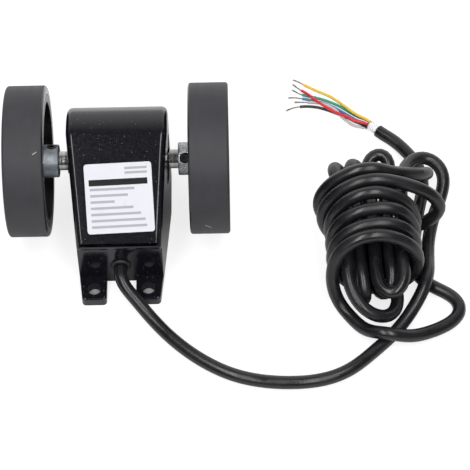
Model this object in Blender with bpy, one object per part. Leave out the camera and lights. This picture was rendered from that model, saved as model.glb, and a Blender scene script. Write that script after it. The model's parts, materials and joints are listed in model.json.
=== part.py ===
"""Double-wheel roller length meter: a cast housing, a shaft with two rubber-tyred measuring wheels,
a slotted encoder disc read by two optical sensors, and a six-core cable with a stripped end.

Metres, +Z up. The origin lies on the mounting face of the base, straight below the shaft.
X runs along the shaft, and the side with the label and the cable faces -Y.
"""
import math

import bmesh
import bpy
import numpy as np
from mathutils import Matrix, Vector

MM = 0.001

# Fits
CLEAR = 0.3 * MM
OVERRUN = 3.0 * MM
MERGE = 0.001 * MM

# Measuring wheels
WHEEL_DIAMETER = 79.6 * MM
WHEEL_WIDTH = 21.0 * MM
WHEEL_GAP = 10.8 * MM
TYRE_THICKNESS = 4.5 * MM
TYRE_EDGE = 1.5 * MM
TYRE_EDGE_SHARE = 0.3
TYRE_KEY_WIDTH = 5.0 * MM
TYRE_KEY_DEPTH = 1.2 * MM
RIM_THICKNESS = 4.0 * MM
WEB_THICKNESS = 4.0 * MM
WEB_INSET = 2.5 * MM
WHEEL_BOSS_THICKNESS = 2.5 * MM
HUB_DIAMETER = 17.3 * MM
HUB_STANDOUT = 5.7 * MM
HUB_EDGE = 0.6 * MM
SET_SCREW_DIAMETER = 5.0 * MM
SET_SCREW_LENGTH = 3.2 * MM
SET_SCREW_SOCKET = 2.5 * MM
SET_SCREW_FROM_HUB_END = 3.6 * MM
LEFT_SCREW_ANGLE = math.radians(117)
RIGHT_SCREW_ANGLE = math.radians(55)

# Shaft and its bearings
SHAFT_HEIGHT = 46.0 * MM
SHAFT_DIAMETER = 10.0 * MM
SHAFT_END_INSET = 5.0 * MM
SHAFT_CHAMFER = 0.6 * MM
BEARING_OUTER_DIAMETER = 26.0 * MM
BEARING_WIDTH = 8.0 * MM
BEARING_INSET = 1.0 * MM
BALL_DIAMETER = 4.7 * MM
BALL_COUNT = 7
RACE_LAND = 1.3 * MM
SHIELD_THICKNESS = 0.5 * MM
CAGE_THICKNESS = 0.5 * MM
CAGE_WIDTH = 1.6 * MM
CIRCLIP_THICKNESS = 1.1 * MM
CIRCLIP_OUTER_DIAMETER = 13.6 * MM
CIRCLIP_GROOVE_DEPTH = 0.7 * MM
CIRCLIP_GAP_ANGLE = math.radians(50)

# Housing: the side profile, then the plan
WALL = 3.5 * MM
BACK_Y = 23.8 * MM
FRONT_WALL_Y = -45.8 * MM
LIP_Y = -49.3 * MM
LIP_BELOW_SHAFT = 11.8 * MM
LIP_NOSE = 3.4 * MM
LIP_UNDERCUT = 0.6 * MM
LIP_CORNER = 3.5 * MM
FACE_RISE = math.radians(44)
CROWN_RADIUS = 22.0 * MM
HOUSING_HALF_WIDTH = 26.2 * MM
TAPER_START_Y = -2.0 * MM
TAPER_SHARE = 0.091
EDGE_RADIUS = 2.2 * MM
PEDESTAL_EDGE = 1.6 * MM
CROWN_STEPS = 9

# Mounting tabs
TAB_LENGTH = 15.3 * MM
TAB_THICKNESS = 5.5 * MM
TAB_GAP = 15.5 * MM
TAB_CORNER = 1.9 * MM
TAB_EDGE = 0.5 * MM
TAB_HOLE_DIAMETER = 7.0 * MM
TAB_HOLE_FROM_WALL = 8.6 * MM
REAR_TAB_INSET = 3.2 * MM

# Label on the sloping face
LABEL_FROM_SIDE = 4.7 * MM
LABEL_HEIGHT = 37.0 * MM
LABEL_CORNER = 1.6 * MM
LABEL_THICKNESS = 0.35 * MM
LABEL_FROM_LIP = 7.4 * MM
LABEL_TURN = math.radians(1.4)
POCKET_DEPTH = 0.45 * MM
POCKET_MARGIN = 0.8 * MM

# Base cover
COVER_THICKNESS = 2.2 * MM
COVER_LEDGE = 1.7 * MM
COVER_BOSS_DIAMETER = 8.0 * MM
COVER_BOSS_HEIGHT = 9.0 * MM
COVER_BOSS_INSET_X = 4.6 * MM
COVER_BOSS_INSET_Y = 4.6 * MM
M3_DIAMETER = 3.0 * MM
M3_LENGTH = 8.0 * MM
M3_HEAD_DIAMETER = 5.6 * MM
M3_HEAD_HEIGHT = 1.6 * MM
M3_SOCKET = 2.0 * MM

# Bearing seats in the side walls
SEAT_WALL = 3.2 * MM
SEAT_SHOULDER = 1.4 * MM
SEAT_SHOULDER_BORE = 19.0 * MM

# Encoder disc: one slot for each 10 mm of travel at the tread
SLOT_COUNT = 25
DISC_THICKNESS = 0.6 * MM
DISC_BORE = 13.0 * MM
SLOT_OUTER_DIAMETER = 31.0 * MM
SLOT_LENGTH = 5.0 * MM
DISC_RIM = 1.5 * MM
COLLAR_DIAMETER = 19.0 * MM
COLLAR_SPIGOT = 1.4 * MM
COLLAR_LENGTH = 8.0 * MM
COLLAR_FLANGE = 2.0 * MM
COLLAR_BARREL_DIAMETER = 15.6 * MM
COLLAR_SCREW_DIAMETER = 3.0 * MM

# Circuit board and what stands on it
BOARD_FROM_WALL = 2.2 * MM
BOARD_LENGTH = 46.0 * MM
BOARD_THICKNESS = 1.6 * MM
DISC_OVER_BOARD = 9.0 * MM
BOARD_CENTRE_Y = -6.5 * MM
BOARD_CORNER = 1.0 * MM
BOARD_SCREW_INSET = 3.6 * MM
BOARD_SCREW_LENGTH = 7.0 * MM
LEDGE_DIAMETER = 7.0 * MM
LEDGE_HEIGHT = 6.0 * MM
SENSOR_WIDTH = 6.0 * MM
SENSOR_LENGTH = 13.0 * MM
SENSOR_BASE = 3.0 * MM
SENSOR_ARM = 4.4 * MM
SENSOR_HEIGHT = 12.6 * MM
SENSOR_ANGLE = math.radians(21.6)
CHIP_SIDE = 8.0 * MM
CHIP_THICKNESS = 1.6 * MM
REGULATOR_WIDTH = 6.5 * MM
REGULATOR_DEPTH = 4.0 * MM
CAPACITOR_DIAMETER = 6.0 * MM
CAPACITOR_HEIGHT = 7.0 * MM
HEADER_PITCH = 2.0 * MM
HEADER_DEPTH = 4.5 * MM
HEADER_HEIGHT = 5.0 * MM

# Cable
CABLE_DIAMETER = 7.0 * MM
CORE_DIAMETER = 1.6 * MM
CORE_COUNT = 6
GROMMET_LAP = 1.1 * MM
GROMMET_FLANGE = 1.2 * MM
GROMMET_SLOPE = 1.0 * MM
GROMMET_WALL = 1.7 * MM
JACKET_INSIDE = 16.0 * MM
CLAMP_WIDTH = 5.0 * MM
CLAMP_THICKNESS = 1.2 * MM
CLAMP_FOOT = 7.0 * MM
CLAMP_SCREW_SHARE = 0.6
CLAMP_POST_HALF_WIDTH = 2.6 * MM
CLAMP_FROM_WALL = 9.0 * MM

# Sizes that follow from those above
WHEEL_INNER_PLANE = HOUSING_HALF_WIDTH + WHEEL_GAP
SHAFT_LENGTH = 2 * (WHEEL_INNER_PLANE + WHEEL_WIDTH - SHAFT_END_INSET)
BEARING_OUTER_PLANE = HOUSING_HALF_WIDTH - BEARING_INSET
REAR_TAB_HALF_WIDTH = HOUSING_HALF_WIDTH - REAR_TAB_INSET
LIP_HEIGHT = SHAFT_HEIGHT - LIP_BELOW_SHAFT
DISC_DIAMETER = SLOT_OUTER_DIAMETER + 2 * DISC_RIM
BOARD_TOP = SHAFT_HEIGHT - DISC_DIAMETER / 2 - DISC_OVER_BOARD
CABLE_EXIT_HEIGHT = BOARD_TOP - BOARD_THICKNESS - CLEAR - CABLE_DIAMETER / 2
GROMMET_BODY_DIAMETER = CABLE_DIAMETER + 2 * GROMMET_WALL
GROMMET_FLANGE_DIAMETER = GROMMET_BODY_DIAMETER + 2 * GROMMET_LAP

# The free cable's route, in millimetres from the origin
CABLE_SPACING = 8.3
BUNDLE_STEP, LEAD_STEP, CORE_STEP = 6.7, 7.0, 4.4
SPREAD_ROUNDS = 800
PUSH_SHARE, EVEN_SHARE = 0.5, 0.4
FINE_STEP_SHARE, SAME_BEND_SHARE = 1 / 6, 2.3
CORE_SPACING = 2.15
CORE_RING_RADIUS = 2.05
SHIELD_DIAMETER = 5.9
SHIELD_LENGTH = 5.6
BARE_LENGTH = 7.0
BARE_SHARE = 0.62

# Where the hank's strands lie in the wraps' bore, as places across it and up
BORE_NEAR_Y, BORE_FAR_Y = -50.0, -6.0
STRANDS = {
    "low_left": (125.2, 14.6),
    "low_middle": (132.7, 12.2),
    "low_right": (140.2, 14.2),
    "top_left": (118.0, 24.8),
    "top_left_middle": (125.5, 21.4),
    "top_middle": (132.8, 19.2),
    "top_right_middle": (140.4, 21.2),
    "top_right": (147.2, 22.5),
}
# The hank, strand after strand. Each fold: the two strands it joins, how far it reaches past the bore's end,
# how much it swells at its waist, and how far its end leans across and up.
FOLDS = (("top_right", "top_middle", 21.0, 1.5, 0.5, -4.0),
         ("top_middle", "top_right_middle", 19.5, 3.2, 1.0, 6.0),
         ("top_right_middle", "low_middle", 19.0, 1.8, 2.0, -3.5),
         ("low_middle", "top_left_middle", 20.5, 2.2, -3.0, -1.0),
         ("top_left_middle", "low_left", 19.0, 3.2, 3.2, -5.0),
         ("low_left", "top_left", 18.0, 2.0, -3.6, -1.5),
         ("top_left", "low_right", 31.0, 4.4, 3.5, -7.0))

# The wraps round the hank, from the far one to the near one
WRAP_CENTRE_X, WRAP_CENTRE_Z, WRAP_RADIUS = 132.8, 25.4, 21.5
WRAP_LEAN = 4.5
WRAP_TOPS_Y = (-13.7, -20.6, -27.2, -38.2, -46.6, -53.6)
WRAP_LIFTS = (1.8, 2.2, 2.4, 0.0, -1.2, 0.0)
WRAP_LEFT_SLACKS = (6.2, 5.0, 0.0, 0.0, 0.0, 0.0)
WRAP_RIGHT_SLACKS = (15.5, 1.0, 0.0, 0.0, 0.0, 0.0)
WRAP_STEPS = 12
LAST_WRAP_STEPS = 4
FOLD_STEPS = 6

# Along the table, round the loop at the far right and into the bore
BEFORE_HANK = (
    (134.4, -92.1, 3.7), (141.4, -85.8, 3.7), (147.1, -78.2, 4.5), (152.1, -69.9, 7.0), (156.6, -61.8, 10.8),
    (159.0, -51.0, 10.5), (159.5, -41.0, 6.0), (160.0, -27.0, 4.2), (163.5, -12.0, 5.0), (168.5, 0.0, 8.5),
    (170.5, 10.0, 11.5), (167.0, 18.0, 13.5), (159.5, 21.0, 15.0), (151.5, 15.0, 17.0), (148.0, 4.0, 21.0),
)
# Out of the bore to the right and back over the top
BEFORE_WRAPS = (
    (144.0, 0.0, 11.8), (151.0, 3.0, 11.8), (157.5, 4.5, 14.5), (162.5, 4.0, 20.5), (163.5, 0.0, 27.0),
    (159.5, -5.5, 33.0), (152.0, -9.5, 38.5), (143.0, -12.5, 43.5),
)
# Under the near end, round the big loop and back along the right side
AFTER_WRAPS = (
    (111.6, -63.5, 16.5), (114.2, -67.0, 8.5), (118.0, -71.0, 4.2), (122.5, -77.0, 3.9), (127.0, -82.8, 5.2),
    (132.0, -87.0, 8.3), (138.0, -89.5, 11.3), (147.0, -89.5, 8.5), (157.0, -86.5, 4.0), (168.5, -81.5, 3.8),
    (177.5, -76.0, 3.8), (181.0, -69.0, 3.8), (177.5, -62.5, 3.8), (171.0, -58.5, 3.8), (162.5, -54.0, 3.8),
    (155.5, -46.0, 3.8), (155.4, -34.0, 3.8), (158.0, -21.0, 3.8), (159.5, -7.0, 3.8), (163.0, 5.0, 3.8),
    (163.5, 17.0, 3.8), (159.5, 28.0, 3.8), (152.5, 37.5, 3.8),
)
# Out of the gland, down in front of the right tab and over the table to the bundle
LEAD_ROUTE = (
    (0.0, -47.7, 14.6), (0.0, -51.2, 14.6), (0.2, -54.8, 14.5), (2.0, -57.9, 12.9), (4.7, -60.8, 11.0),
    (8.2, -64.3, 9.0), (12.0, -68.6, 6.6), (16.2, -73.2, 4.6), (21.0, -79.0, 3.7), (26.5, -85.2, 3.7),
    (33.0, -91.6, 3.7), (41.1, -98.2, 3.7), (50.5, -104.4, 3.7), (61.5, -109.4, 3.7), (76.0, -112.6, 3.7),
    (91.2, -113.4, 3.7), (102.5, -112.4, 3.7), (112.9, -109.4, 3.7), (121.5, -104.2, 3.7),
    (128.6, -97.7, 3.7), (134.2, -92.3, 3.7),
)
# Past the bundle to the end of the sheath
TAIL_ROUTE = (
    (152.3, 37.7, 3.7), (150.0, 40.5, 3.7), (147.2, 43.1, 3.7), (143.9, 45.6, 3.7), (140.6, 48.6, 3.7),
)
END_DIRECTION = (-0.74, 0.67, 0.0)

# The cores, from the wrap on the shield to their stripped tips, and where each one leaves the ring
CORES = {
    "wire_green": (0, (0.02, 0.3, 0.08), (
        (129.5, 60.2, 1.9), (124.2, 65.1, 1.0), (119.9, 68.6, 1.0), (113.3, 72.4, 1.0),
        (107.2, 74.9, 1.0), (98.3, 77.6, 1.0), (93.3, 80.2, 1.0),
    )),
    "wire_yellow": (60, (0.85, 0.6, 0.02), (
        (129.4, 59.6, 4.2), (123.6, 65.9, 2.8), (118.9, 71.5, 1.6), (114.0, 76.0, 1.0),
        (107.4, 79.8, 1.0), (100.8, 84.2, 1.0), (95.2, 88.7, 1.0),
    )),
    "wire_red": (120, (0.6, 0.01, 0.01), (
        (129.7, 53.9, 4.8), (125.4, 56.9, 4.8), (120.6, 60.4, 3.6), (115.2, 64.2, 2.9),
        (107.0, 71.2, 2.9), (102.7, 75.9, 2.6), (98.4, 80.2, 1.6), (93.6, 84.2, 1.0),
    )),
    "wire_black": (180, (0.01, 0.01, 0.01), (
        (129.3, 55.7, 2.4), (123.4, 60.5, 1.4), (115.8, 64.7, 1.0), (108.1, 67.9, 1.0),
        (102.0, 68.8, 1.0), (96.4, 68.4, 1.0), (90.8, 66.6, 1.0),
    )),
    "wire_white": (240, (0.75, 0.75, 0.76), (
        (130.4, 52.9, 1.4), (125.5, 55.9, 1.4), (121.2, 60.0, 2.0), (118.0, 64.2, 2.9),
        (112.0, 68.6, 2.8), (104.8, 71.1, 1.8), (99.8, 71.6, 1.0), (94.3, 71.2, 1.0),
    )),
    "wire_blue": (300, (0.02, 0.08, 0.45), (
        (129.5, 58.3, 1.0), (123.5, 62.9, 1.0), (118.1, 67.0, 1.0), (112.7, 70.3, 1.0),
        (106.6, 72.6, 1.0), (99.3, 74.4, 1.0), (92.1, 75.6, 1.0),
    )),
}

# How finely round pieces are divided
FINE = 36
BROAD = 28
ROUND = 22
MEDIUM = 18
COARSE = 14
SMALL = 8
HEXAGON = 6
BALL_RINGS = 5
CORNER_STEPS = 4
SHARP_ANGLE = math.radians(32)
EDGE_ANGLE = math.radians(40)


# Small helpers

def clear_scene():
    for item in list(bpy.data.objects):
        bpy.data.objects.remove(item, do_unlink=True)


def material(name, colour, roughness, metallic=0.0):
    """A Principled material, shared by name."""
    found = bpy.data.materials.get(name)
    if found:
        return found
    made = bpy.data.materials.new(name)
    made.use_nodes = True
    shader = made.node_tree.nodes["Principled BSDF"]
    shader.inputs["Base Color"].default_value = (*colour, 1.0)
    shader.inputs["Roughness"].default_value = roughness
    shader.inputs["Metallic"].default_value = metallic
    return made


def black_paint():
    return material("black_gloss_paint", (0.012, 0.012, 0.014), 0.18)


def rubber():
    return material("tread_rubber", (0.055, 0.055, 0.06), 0.7)


def black_plastic():
    return material("black_plastic", (0.015, 0.015, 0.017), 0.5)


def steel():
    return material("ground_steel", (0.55, 0.55, 0.56), 0.25, 1.0)


def dark_steel():
    return material("black_oxide_steel", (0.06, 0.06, 0.065), 0.4, 1.0)


def zinc():
    return material("cast_zinc", (0.42, 0.44, 0.46), 0.5, 1.0)


def aluminium():
    return material("turned_aluminium", (0.7, 0.7, 0.72), 0.35, 1.0)


def board_green():
    return material("board_laminate", (0.02, 0.16, 0.06), 0.45)


def cable_black():
    return material("cable_sheath", (0.02, 0.02, 0.022), 0.42)


def label_white():
    return material("label_film", (0.82, 0.82, 0.84), 0.35)


def clean(bm):
    """Merges doubled points and turns every face outwards."""
    bmesh.ops.remove_doubles(bm, verts=bm.verts, dist=MERGE)
    bmesh.ops.recalc_face_normals(bm, faces=bm.faces)
    return bm


def to_object(name, bm, finish, parent=None, smooth=True):
    """Makes a mesh object from a bmesh. With a parent, its points are given from the parent's place."""
    mesh = bpy.data.meshes.new(name)
    bm.to_mesh(mesh)
    bm.free()
    if smooth:
        mesh.shade_smooth()
        mesh.set_sharp_from_angle(angle=SHARP_ANGLE)
    mesh.materials.append(finish)
    made = bpy.data.objects.new(name, mesh)
    bpy.context.scene.collection.objects.link(made)
    made.parent = parent
    return made


def boolean(bm, other, operation):
    """The union or difference of two bmeshes, which are both used up."""
    bodies = [to_object("operand", piece, black_paint(), smooth=False) for piece in (bm, other)]
    modifier = bodies[0].modifiers.new("boolean", "BOOLEAN")
    modifier.operation = operation
    modifier.solver = "EXACT"
    modifier.object = bodies[1]
    bpy.context.view_layer.update()
    evaluated = bodies[0].evaluated_get(bpy.context.evaluated_depsgraph_get())
    result = bmesh.new()
    result.from_mesh(evaluated.to_mesh())
    evaluated.to_mesh_clear()
    for body in bodies:
        mesh = body.data
        bpy.data.objects.remove(body, do_unlink=True)
        bpy.data.meshes.remove(mesh)
    return clean(result)


def cut(bm, cutter):
    return boolean(bm, cutter, "DIFFERENCE")


def fuse(bm, other):
    return boolean(bm, other, "UNION")


def moved(bm, matrix):
    bmesh.ops.transform(bm, matrix=matrix, verts=bm.verts)
    return bm


def shifted(bm, x=0.0, y=0.0, z=0.0):
    return moved(bm, Matrix.Translation((x, y, z)))


def prism(outline, low, high, axis="Z"):
    """Extrudes an outline. It is given in X and Y for axis Z, and in Y and Z for axis X."""
    bm = bmesh.new()
    if axis == "Z":
        corners = [bm.verts.new((a, b, low)) for a, b in outline]
        step = Vector((0.0, 0.0, high - low))
    else:
        corners = [bm.verts.new((low, a, b)) for a, b in outline]
        step = Vector((high - low, 0.0, 0.0))
    face = bm.faces.new(corners)
    grown = bmesh.ops.extrude_face_region(bm, geom=[face])
    bmesh.ops.translate(bm, vec=step, verts=[v for v in grown["geom"] if isinstance(v, bmesh.types.BMVert)])
    return clean(bm)


def box(x_low, x_high, y_low, y_high, z_low, z_high):
    return prism([(x_low, y_low), (x_high, y_low), (x_high, y_high), (x_low, y_high)], z_low, z_high)


def turned(profile, steps=ROUND, closed=True):
    """Spins a profile of (place along X, radius) about the X axis."""
    bm = bmesh.new()
    points = [bm.verts.new((along, 0.0, radius)) for along, radius in profile]
    pairs = list(zip(points, points[1:]))
    if closed:
        pairs.append((points[-1], points[0]))
    edges = [bm.edges.new(pair) for pair in pairs]
    bmesh.ops.spin(bm, geom=points + edges, cent=(0, 0, 0), axis=(1, 0, 0), angle=2 * math.pi,
                   steps=steps, use_merge=True)
    return clean(bm)


def rod(radius, low, high, steps=ROUND, axis="X"):
    """A round bar along an axis through the origin."""
    bm = bmesh.new()
    bmesh.ops.create_cone(bm, cap_ends=True, segments=steps, radius1=radius, radius2=radius, depth=high - low)
    turn = Matrix.Rotation(math.pi / 2, 4, "Y") if axis == "X" else Matrix.Identity(4)
    if axis == "Y":
        turn = Matrix.Rotation(-math.pi / 2, 4, "X")
    moved(bm, turn)
    middle = (low + high) / 2
    place = {"X": (middle, 0, 0), "Y": (0, middle, 0), "Z": (0, 0, middle)}[axis]
    return shifted(bm, *place)


def mirrored(profile, side):
    """A profile along X for one side: -1 is the left side and 1 the right."""
    return [(side * along, radius) for along, radius in profile]


def rounded_outline(width, height, radius):
    """A rectangle round the origin with rounded corners."""
    outline = []
    for centre_x, centre_y, start in ((1, 1, 0), (-1, 1, 1), (-1, -1, 2), (1, -1, 3)):
        for step in range(CORNER_STEPS):
            angle = (start + step / (CORNER_STEPS - 1)) * math.pi / 2
            outline.append((centre_x * (width / 2 - radius) + radius * math.cos(angle),
                            centre_y * (height / 2 - radius) + radius * math.sin(angle)))
    return outline


def socket_screw(diameter, length, head_diameter, head_height, socket):
    """A screw with a flat head and a hexagon socket. Its head's face is at the origin and it points up."""
    bm = turned([(0.0, 0.0), (0.0, head_diameter / 2), (head_height, diameter / 2), (length, diameter / 2),
                 (length, 0.0)], steps=SMALL, closed=False)
    moved(bm, Matrix.Rotation(-math.pi / 2, 4, "Y"))
    return cut(bm, rod(socket / 2, -OVERRUN, head_height - CLEAR, steps=HEXAGON, axis="Z"))


# Shapes that several pieces share

def half_width(y):
    """Half the housing's width at a depth: parallel at the back, narrowing towards the front."""
    return HOUSING_HALF_WIDTH - TAPER_SHARE * max(0.0, TAPER_START_Y - y)


def board_width():
    """The circuit board's width, from the hollow's narrowest place beside it."""
    return 2 * (half_width(BOARD_CENTRE_Y - BOARD_LENGTH / 2) - WALL - BOARD_FROM_WALL)


def label_width():
    """The label's width, from the sloping face's width at its lower edge."""
    return 2 * (half_width(LIP_Y + LABEL_FROM_LIP * math.cos(FACE_RISE)) - LABEL_FROM_SIDE)


def face_direction():
    """Up the sloping face."""
    return Vector((0.0, math.cos(FACE_RISE), math.sin(FACE_RISE)))


def face_normal():
    return Vector((0.0, -math.sin(FACE_RISE), math.cos(FACE_RISE)))


def crown_centre():
    """The centre of the rounded top, whose arc runs into the back wall and the sloping face."""
    centre_y = BACK_Y - CROWN_RADIUS
    rise, run = math.sin(FACE_RISE), math.cos(FACE_RISE)
    centre_z = LIP_HEIGHT + ((centre_y - LIP_Y) * rise - CROWN_RADIUS) / run
    return centre_y, centre_z


def crown_arc(radius, steps=CROWN_STEPS):
    """The rounded top from the back wall over to the sloping face."""
    centre_y, centre_z = crown_centre()
    sweep = math.pi / 2 + FACE_RISE
    return [(centre_y + radius * math.cos(sweep * i / steps), centre_z + radius * math.sin(sweep * i / steps))
            for i in range(steps + 1)]


def outer_profile():
    """The housing from the side, without its tabs."""
    nose_low = (LIP_Y + LIP_UNDERCUT, LIP_HEIGHT - LIP_NOSE)
    return ([(FRONT_WALL_Y, 0.0), (BACK_Y, 0.0)] + crown_arc(CROWN_RADIUS)
            + [(LIP_Y, LIP_HEIGHT), nose_low, (FRONT_WALL_Y, LIP_HEIGHT - LIP_NOSE)])


def inner_profile(low):
    """The hollow from the side: one wall inside the outer profile."""
    front = FRONT_WALL_Y + WALL
    slope = math.tan(FACE_RISE)
    corner_z = LIP_HEIGHT + (front - LIP_Y) * slope - WALL / math.cos(FACE_RISE)
    return ([(front, low), (BACK_Y - WALL, low)] + crown_arc(CROWN_RADIUS - WALL) + [(front, corner_z)])


def body_of_profile(profile, inset):
    """A profile drawn out to both sides as far as the plan allows."""
    reach = HOUSING_HALF_WIDTH
    bm = prism(profile, -reach, reach, axis="X")
    bmesh.ops.bisect_plane(bm, geom=bm.verts[:] + bm.edges[:] + bm.faces[:], dist=MERGE,
                           plane_co=(0, TAPER_START_Y, 0), plane_no=(0, 1, 0))
    for vert in bm.verts:
        vert.co.x = math.copysign(half_width(vert.co.y) - inset, vert.co.x)
    return clean(bm)


def side_edges(bm, test):
    """Edges that lie along one side's outline and pass a test on their middle."""
    found = []
    for edge in bm.edges:
        if len(edge.link_faces) != 2 or edge.calc_face_angle() < EDGE_ANGLE:
            continue
        middle = (edge.verts[0].co + edge.verts[1].co) / 2
        if test(edge, middle):
            found.append(edge)
    return found


def bevel(bm, edges, offset, segments):
    bmesh.ops.bevel(bm, geom=edges, offset=offset, offset_type="OFFSET", segments=segments, profile=0.5,
                    affect="EDGES", clamp_overlap=True)
    return clean(bm)


def tab_outline(side, front):
    """One mounting tab in plan, with its two free corners rounded."""
    wall = FRONT_WALL_Y if front else BACK_Y
    out = -1.0 if front else 1.0
    root = wall - out * WALL / 2
    tip = wall + out * TAB_LENGTH
    inner = TAB_GAP / 2
    if front:
        outer_root, outer_tip = half_width(wall), half_width(tip)
    else:
        outer_root = REAR_TAB_HALF_WIDTH + TAPER_SHARE * TAB_LENGTH
        outer_tip = REAR_TAB_HALF_WIDTH
    corner = TAB_CORNER
    quarter = [step * math.pi / 2 / CORNER_STEPS for step in range(CORNER_STEPS + 1)]
    points = [(inner, root)]
    points += [(inner + corner * (1 - math.cos(a)), tip - out * corner * (1 - math.sin(a))) for a in quarter]
    points += [(outer_tip - corner * (1 - math.sin(a)), tip - out * corner * (1 - math.cos(a)))
               for a in quarter]
    points.append((outer_root, wall))
    points.append((outer_root, root))
    return [(side * x, y) for x, y in points]


def tab_holes():
    """The middles of the four mounting holes."""
    middle = TAB_GAP / 2 + (half_width(FRONT_WALL_Y - TAB_LENGTH) - TAB_GAP / 2) / 2
    return [(side * middle, wall + out * TAB_HOLE_FROM_WALL)
            for wall, out in ((FRONT_WALL_Y, -1.0), (BACK_Y, 1.0)) for side in (-1, 1)]


def cover_outline(margin):
    """The base cover in plan: the hollow's own outline plus a ledge."""
    front = FRONT_WALL_Y + WALL - margin
    back = BACK_Y - WALL + margin
    reach = WALL - margin
    right = [(half_width(front) - reach, front), (half_width(TAPER_START_Y) - reach, TAPER_START_Y),
             (half_width(back) - reach, back)]
    return right + [(-x, y) for x, y in reversed(right)]


def clamp_screw_x():
    """How far from the cable each clamp screw stands."""
    return CABLE_DIAMETER / 2 + CLEAR + CLAMP_THICKNESS + CLAMP_FOOT * CLAMP_SCREW_SHARE


def cover_screw_places():
    front = FRONT_WALL_Y + WALL + COVER_BOSS_INSET_Y
    back = BACK_Y - WALL - COVER_BOSS_INSET_Y
    return [(side * (half_width(y) - WALL - COVER_BOSS_INSET_X), y)
            for y in (front, back) for side in (-1, 1)]


def board_screw_places():
    reach_x = board_width() / 2 - BOARD_SCREW_INSET
    reach_y = BOARD_LENGTH / 2 - BOARD_SCREW_INSET
    return [(side * reach_x, BOARD_CENTRE_Y + end * reach_y) for end in (-1, 1) for side in (-1, 1)]


def board_screw_face():
    """The height of the board screws' faces: they hang under the board, heads down."""
    return BOARD_TOP - BOARD_THICKNESS - CLEAR - M3_HEAD_HEIGHT


def face_place(along, out):
    """A point on the middle of the sloping face: so far up from the lip and so far out."""
    return Vector((0.0, LIP_Y, LIP_HEIGHT)) + face_direction() * along + face_normal() * out


def face_matrix(along, out, turn=0.0):
    """Takes X and Y of a flat piece onto the sloping face, with Y up the slope."""
    base = Matrix((Vector((1, 0, 0)), face_direction(), face_normal())).transposed().to_4x4()
    return Matrix.Translation(face_place(along, out)) @ base @ Matrix.Rotation(turn, 4, "Z")


# Housing

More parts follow.
